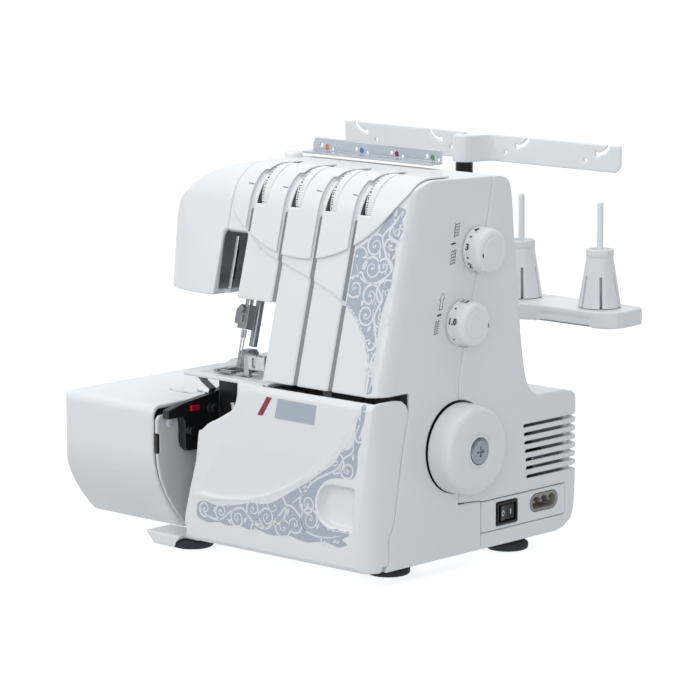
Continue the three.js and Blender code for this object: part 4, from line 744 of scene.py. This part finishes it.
HINT_T = T(120, -95, 190)
tf = Print("ornament_field_tower", "front_casing", "-Y", HINT_T, "ornament_field", 0.05)
F_TOWER = [(130.9, 252.6), (135.6, 253.9), (139.2, 252.4), (139.6, 249), (138.5, 245.2), (140, 239.8), (138.9, 234), (137.5, 225.8), (138.6, 217.7), (138.1, 210.7), (138.6, 203.7), (137.7, 199), (136.5, 190.8), (135.7, 184.9), (135.3, 174.4), (135.9, 167.4), (136.1, 157), (134.8, 147.1), (137.2, 138.4), (137.6, 132.6), (132.7, 132.4), (131.5, 141.4), (130.9, 148.4), (131, 154.3), (127.6, 159.7), (124.6, 166.4), (118.6, 174.7), (112, 181.3), (104, 187.4), (98.9, 191.4), (99.6, 197.6), (101.1, 206), (100.7, 214.2), (100.8, 221.4), (106, 224.6), (112.1, 228.4), (120.3, 235), (127.1, 245.1)]
tf.area(spline(F_TOWER, 3, closed=True), 2.2)
tf.make()
tl = Print("ornament_line_tower", "front_casing", "-Y", HINT_T, "ornament_line", 0.11)
st = spline([(138.4, 252), (134, 243), (126.6, 233.6), (132, 222), (137.2, 212), (127, 203.4), (114, 205), (106.6, 214.5)], 10)
tl.ribbon(st, [0.5, 1.6, 1.3, 1.7, 1.3, 1.6, 1.2, 0.4])
st2 = spline([(127, 203.4), (134.4, 194), (131, 183), (133.6, 172), (136.6, 162), (134, 152), (136.8, 142), (135.6, 132.6)], 10)
tl.ribbon(st2, [0.9, 1.6, 1.3, 1.6, 1.2, 1.4, 1.1, 0.4])
for p, cc, d, tn in (((133, 241), (137.8, 236.6), 1, 1.4), ((126.6, 233.6), (121.4, 227.4), 1, 1.6), ((129.4, 227), (134.6, 228.6), -1, 1.2), ((137.2, 212), (131.4, 214.6), 1, 1.5), ((121, 203.2), (121.8, 212.6), -1, 1.8), ((112, 206.6), (109.4, 198.6), 1, 1.5), ((131.6, 198.6), (124.4, 195), 1, 1.5), ((134, 191), (137.4, 199.6), -1, 1.2), ((131, 183), (123.4, 182.6), -1, 1.6), ((132, 177), (136.4, 181.4), 1, 1.1), ((134.8, 167.4), (130.2, 164.4), -1, 1.1), ((135, 156), (137.4, 153.4), 1, 0.9), ((134.8, 149), (133, 145.6), -1, 0.9), ((110, 207.8), (106.6, 219.4), 1, 0.7)):
    tl.ribbon(spiral(p, cc, d, tn), [1.3, 1.5, 1.1, 0.8, 0.7])
    tl.disc(cc[0], cc[1], 0.9)
for x, z, a, L in ((116.6, 221, 200, 6), (113, 192, 60, 5.4), (118, 187.6, 70, 5), (128, 189.6, 120, 4.4), (127.4, 171.6, 60, 5), (138, 224, 250, 5), (127.4, 219.4, 100, 5.4), (106, 203.6, 60, 4.6)):
    t = np.linspace(0, 1, 12)
    ca, sa = math.cos(math.radians(a)), math.sin(math.radians(a))
    bend = np.sin(t * math.pi) * 0.5
    tl.ribbon(np.stack([x + L * t * ca - bend * sa, z + L * t * sa + bend * ca], 1), [0.15, 1.4, 2.1, 1.8, 1.0, 0.1])
tl.make()

# blank grey badge at the top of the cover, with an abstract maroon mark beside it
b = Print("cover_badge", "front_cover", "-Y", HINT_F, "ornament_field", 0.06)
b.area([(53.8, 106.1), (91.2, 105.7), (92.2, 119.2), (56.2, 119.8)], 3)
b.make()
b = Print("cover_badge_mark", "front_cover", "-Y", HINT_F, "mark_maroon", 0.06)
b.area([(37.6, 106.4), (42.6, 106.3), (50.6, 119.6), (45.6, 119.7)], 3)
b.make()

# marks on the front: needle plate lines, index dashes beside the dials
dashes = {"front_casing": [], "tension_cover": []}
for x in (-5.0, 27.4, 59.4, 93.2):
    hits = {}
    for node_ in dashes:
        q = land(node_, "-Y", x + 2.6, 258.6, 0.0, T(50, -74, 258))
        if q is not None:
            hits[node_] = q[1]
    if hits:
        dashes[min(hits, key=hits.get)].append(x)
for node_, xs in dashes.items():
    d = Print("dial_index_marks_" + node_, node_, "-Y", T(50, -74, 258), "ink_grey", 0.12)
    for x in xs:
        d.ribbon([(x + 5.2 * q / 6, 258.8 - 0.3 * q / 6) for q in range(7)], [0.6, 0.6])
    d.make()

# painted shade: dark grey sheets laid on the floors of the thread channels stand in for the shade in these shallow
# grooves
CH_X, CH_W = (3.2, 35.6, 67.9, 100.2), 4.6
for node_ in ("front_casing", "tension_cover"):
    vv, ff = [], []
    for x0 in CH_X:
        last = None
        for z in np.arange(127.0, 268.0, 1.2):
            near_ = T(50, float(np.interp(z, [127, 181, 215, 245, 268], [-106, -93, -84, -76, -64])) - 4, 200)
            mid = land(node_, "-Y", x0, z, 0.06, near_)
            sides = [land(node_, "-Y", x0 + q, z, 0.0, near_) for q in (-CH_W / 2 - 2.0, CH_W / 2 + 2.0)]
            sides = [q for q in sides if q is not None]
            row = None
            if mid is not None and sides and mid[1] - min(q[1] for q in sides) > 0.0011:
                ends = []
                for q in (-CH_W / 2 + 0.45, CH_W / 2 - 0.45):
                    e = land(node_, "-Y", x0 + q, z, 0.06, near_)
                    if e is not None and abs(e[1] - mid[1]) < 0.0012:
                        ends.append(e)
                if len(ends) == 2:
                    row = (len(vv), ends)
                    vv += ends
            if row and last and abs(row[1][0][1] - last[1][0][1]) < 0.0025:
                ff.append((last[0], last[0] + 1, row[0] + 1, row[0]))
            last = row
    if ff:
        ob = new_mesh("channel_floor_painted_shade_" + node_, vv, ff, "shadow_plastic")
        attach(ob, BODY_OF[node_])

# pictograms beside the two knobs
ic = Print("stitch_pictograms", "front_casing", "+X", T(146, -30, 200), "ink_black", 0.05)
def column(bl, br, tl, rows, teeth, w):
    """Rows of zigzag stitches stacked in a leaning column."""
    bl, br, tl = (np.array(p, float) for p in (bl, br, tl))
    across, up = br - bl, (tl - bl) / rows
    for r in range(rows):
        base = bl + up * (r + 0.15)
        ic.ribbon([base + across * i / teeth + up * (0.62 if i % 2 else 0.0) for i in range(teeth + 1)], [w, w])


column((-27.7, 229.9), (-23.2, 230.4), (-25.9, 239.4), 5, 5, 0.55)
ic.ribbon([(-27.9, 229.6), (-26.1, 239.4)], [0.45, 0.45])
ic.ribbon([(-30.6, 225.6), (-26.2, 226.0)], [1.25, 1.25])
column((-32.2, 211.2), (-27.8, 211.8), (-30.2, 221.4), 5, 4, 0.6)
ic.ribbon([(-27.5, 211.6), (-25.6, 221.8)], [0.45, 0.45])
ic.ribbon([(-42.9, 182.2), (-39.9, 182.6), (-38.5, 189.6), (-36.9, 189.4), (-38.9, 193.6), (-42.5, 188.8), (-41.2, 189.0), (-42.9, 182.2)], [0.5, 0.5])
ic.ribbon([(-44.9, 178.5), (-40.6, 178.9)], [1.25, 1.25])
column((-48.4, 165.4), (-44.2, 166.0), (-46.4, 175.2), 6, 4, 0.6)
ic.make()

# on and off marks of the rocker
sw = Print("switch_marks", "power_switch", "+X", T(150, 28, 32), "ink_white", 0.05)
sw.ribbon([(33.2, 30.3), (33.2, 33.9)], [0.9, 0.9])
sw.disc(23.8, 32.1, 2.0, 20, 1.0, 1.25)
sw.make()

# coloured marks under the thread eyes of the guide plate
for k, (x, mname) in enumerate(zip((-21.5, 11.8, 45, 78.4), ("mark_orange", "mark_blue", "mark_maroon", "mark_green"))):
    mk = Print("guide_mark_%d" % (k + 1), "top_thread_guide", "-Y", T(30, 19, 275), mname, 0.05)
    mk.area([(x + 3.4, 274.8), (x + 5.4, 272.9), (x + 7.6, 274.2), (x + 6.8, 276.8), (x + 4.6, 277.4)], 2)
    mk.make()

# ribbed black collar on the pole under the thread bar
c, lo, hi = centre("pole_lower_tube")
ring = []
for i in range(5):
    z = 246.2 + i * 1.5
    ring += [(z, 5.9), (z + 0.5, 6.6), (z + 1.0, 6.6)]
prof = [(p[0] * 1e-3, p[1] * 1e-3) for p in [(245.6, 5.02), (245.6, 5.6)] + ring + [(254.2, 5.8), (254.4, 5.02), (245.6, 5.02)]]
col = lathe("pole_collar_ribs", None, prof, c, 48, "black_plastic", axis="Z")
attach(col, BODY_OF["pole_lower_tube"])
crisp(col, 35)

# ------------------------------------------------------------------ floor, light, camera
me = bpy.data.meshes.new("studio_sweep")
W, D = 9.0, 3.2
prof = [(-6.0, 0.0), (D, 0.0)] + [(D + 1.6 * math.sin(a), 1.6 - 1.6 * math.cos(a)) for a in np.linspace(0.08, math.pi / 2, 14)] + [(D + 1.6, 6.0)]
az = math.radians(42.92)
fw = np.array([-math.sin(az), math.cos(az)])
rt = np.array([math.cos(az), math.sin(az)])
vs, fs = [], []
for s in (-W, W):
    for p, z in prof:
        q = fw * p + rt * s
        vs.append((q[0], q[1], z))
m_ = len(prof)
for i in range(m_ - 1):
    fs.append((i, m_ + i, m_ + i + 1, i + 1))
M["studio"] = material("studio_white", (0.5, 0.505, 0.51, 1), 0.9, var=0.004, bump=0.0, spec=0.0)
for nd in M["studio"].node_tree.nodes:
    if nd.type == "BSDF_PRINCIPLED":
        nd.inputs["Emission Color"].default_value = (0.985, 0.992, 1.0, 1)
        nd.inputs["Emission Strength"].default_value = 0.78
sweep = new_mesh("studio_sweep", vs, fs, "studio")
sweep.visible_diffuse = False

world = bpy.data.worlds.new("studio_world")
scene.world = world
world.use_nodes = True
bg = world.node_tree.nodes["Background"]
bg.inputs["Color"].default_value = (0.93, 0.965, 1.0, 1)
bg.inputs["Strength"].default_value = 0.5


def area_light(name, at, look, size, power, color=(1, 1, 1)):
    L = bpy.data.lights.new(name, "AREA")
    L.shape = "RECTANGLE"
    L.size, L.size_y = size
    L.energy = power
    L.color = color
    o = bpy.data.objects.new(name, L)
    scene.collection.objects.link(o)
    o.location = at
    o.rotation_mode = "QUATERNION"
    o.rotation_quaternion = (Vector(look) - Vector(at)).to_track_quat("-Z", "Y")
    return o


area_light("key", (-0.45, -1.05, 1.05), (0, 0, 0.12), (1.0, 0.8), 6.5)
area_light("top", (0.0, 0.1, 1.5), (0, 0, 0.1), (1.4, 1.4), 8.4)
area_light("fill_right", (1.12, -1.2, 0.5), (0, 0, 0.12), (0.6, 0.6), 5.0, (0.95, 0.96, 1.0))

cam = bpy.data.cameras.new("camera")
cam.lens, cam.sensor_width, cam.sensor_fit = 190.07, 36.0, "HORIZONTAL"
cam.clip_start, cam.clip_end = 0.1, 60
co = bpy.data.objects.new("camera", cam)
scene.collection.objects.link(co)
el, roll = math.radians(9.59), math.radians(-0.166)
F = Vector((-math.sin(az) * math.cos(el), math.cos(az) * math.cos(el), -math.sin(el)))
Rv = Vector((math.cos(az), math.sin(az), 0))
Uv = Rv.cross(F)
R2 = Rv * math.cos(roll) + Uv * math.sin(roll)
U2 = Uv * math.cos(roll) - Rv * math.sin(roll)
co.matrix_world = Matrix(((R2.x, U2.x, -F.x, 1.766995), (R2.y, U2.y, -F.y, -1.919509), (R2.z, U2.z, -F.z, 0.569732), (0, 0, 0, 1)))
scene.camera = co
scene.view_settings.view_transform = "Standard"
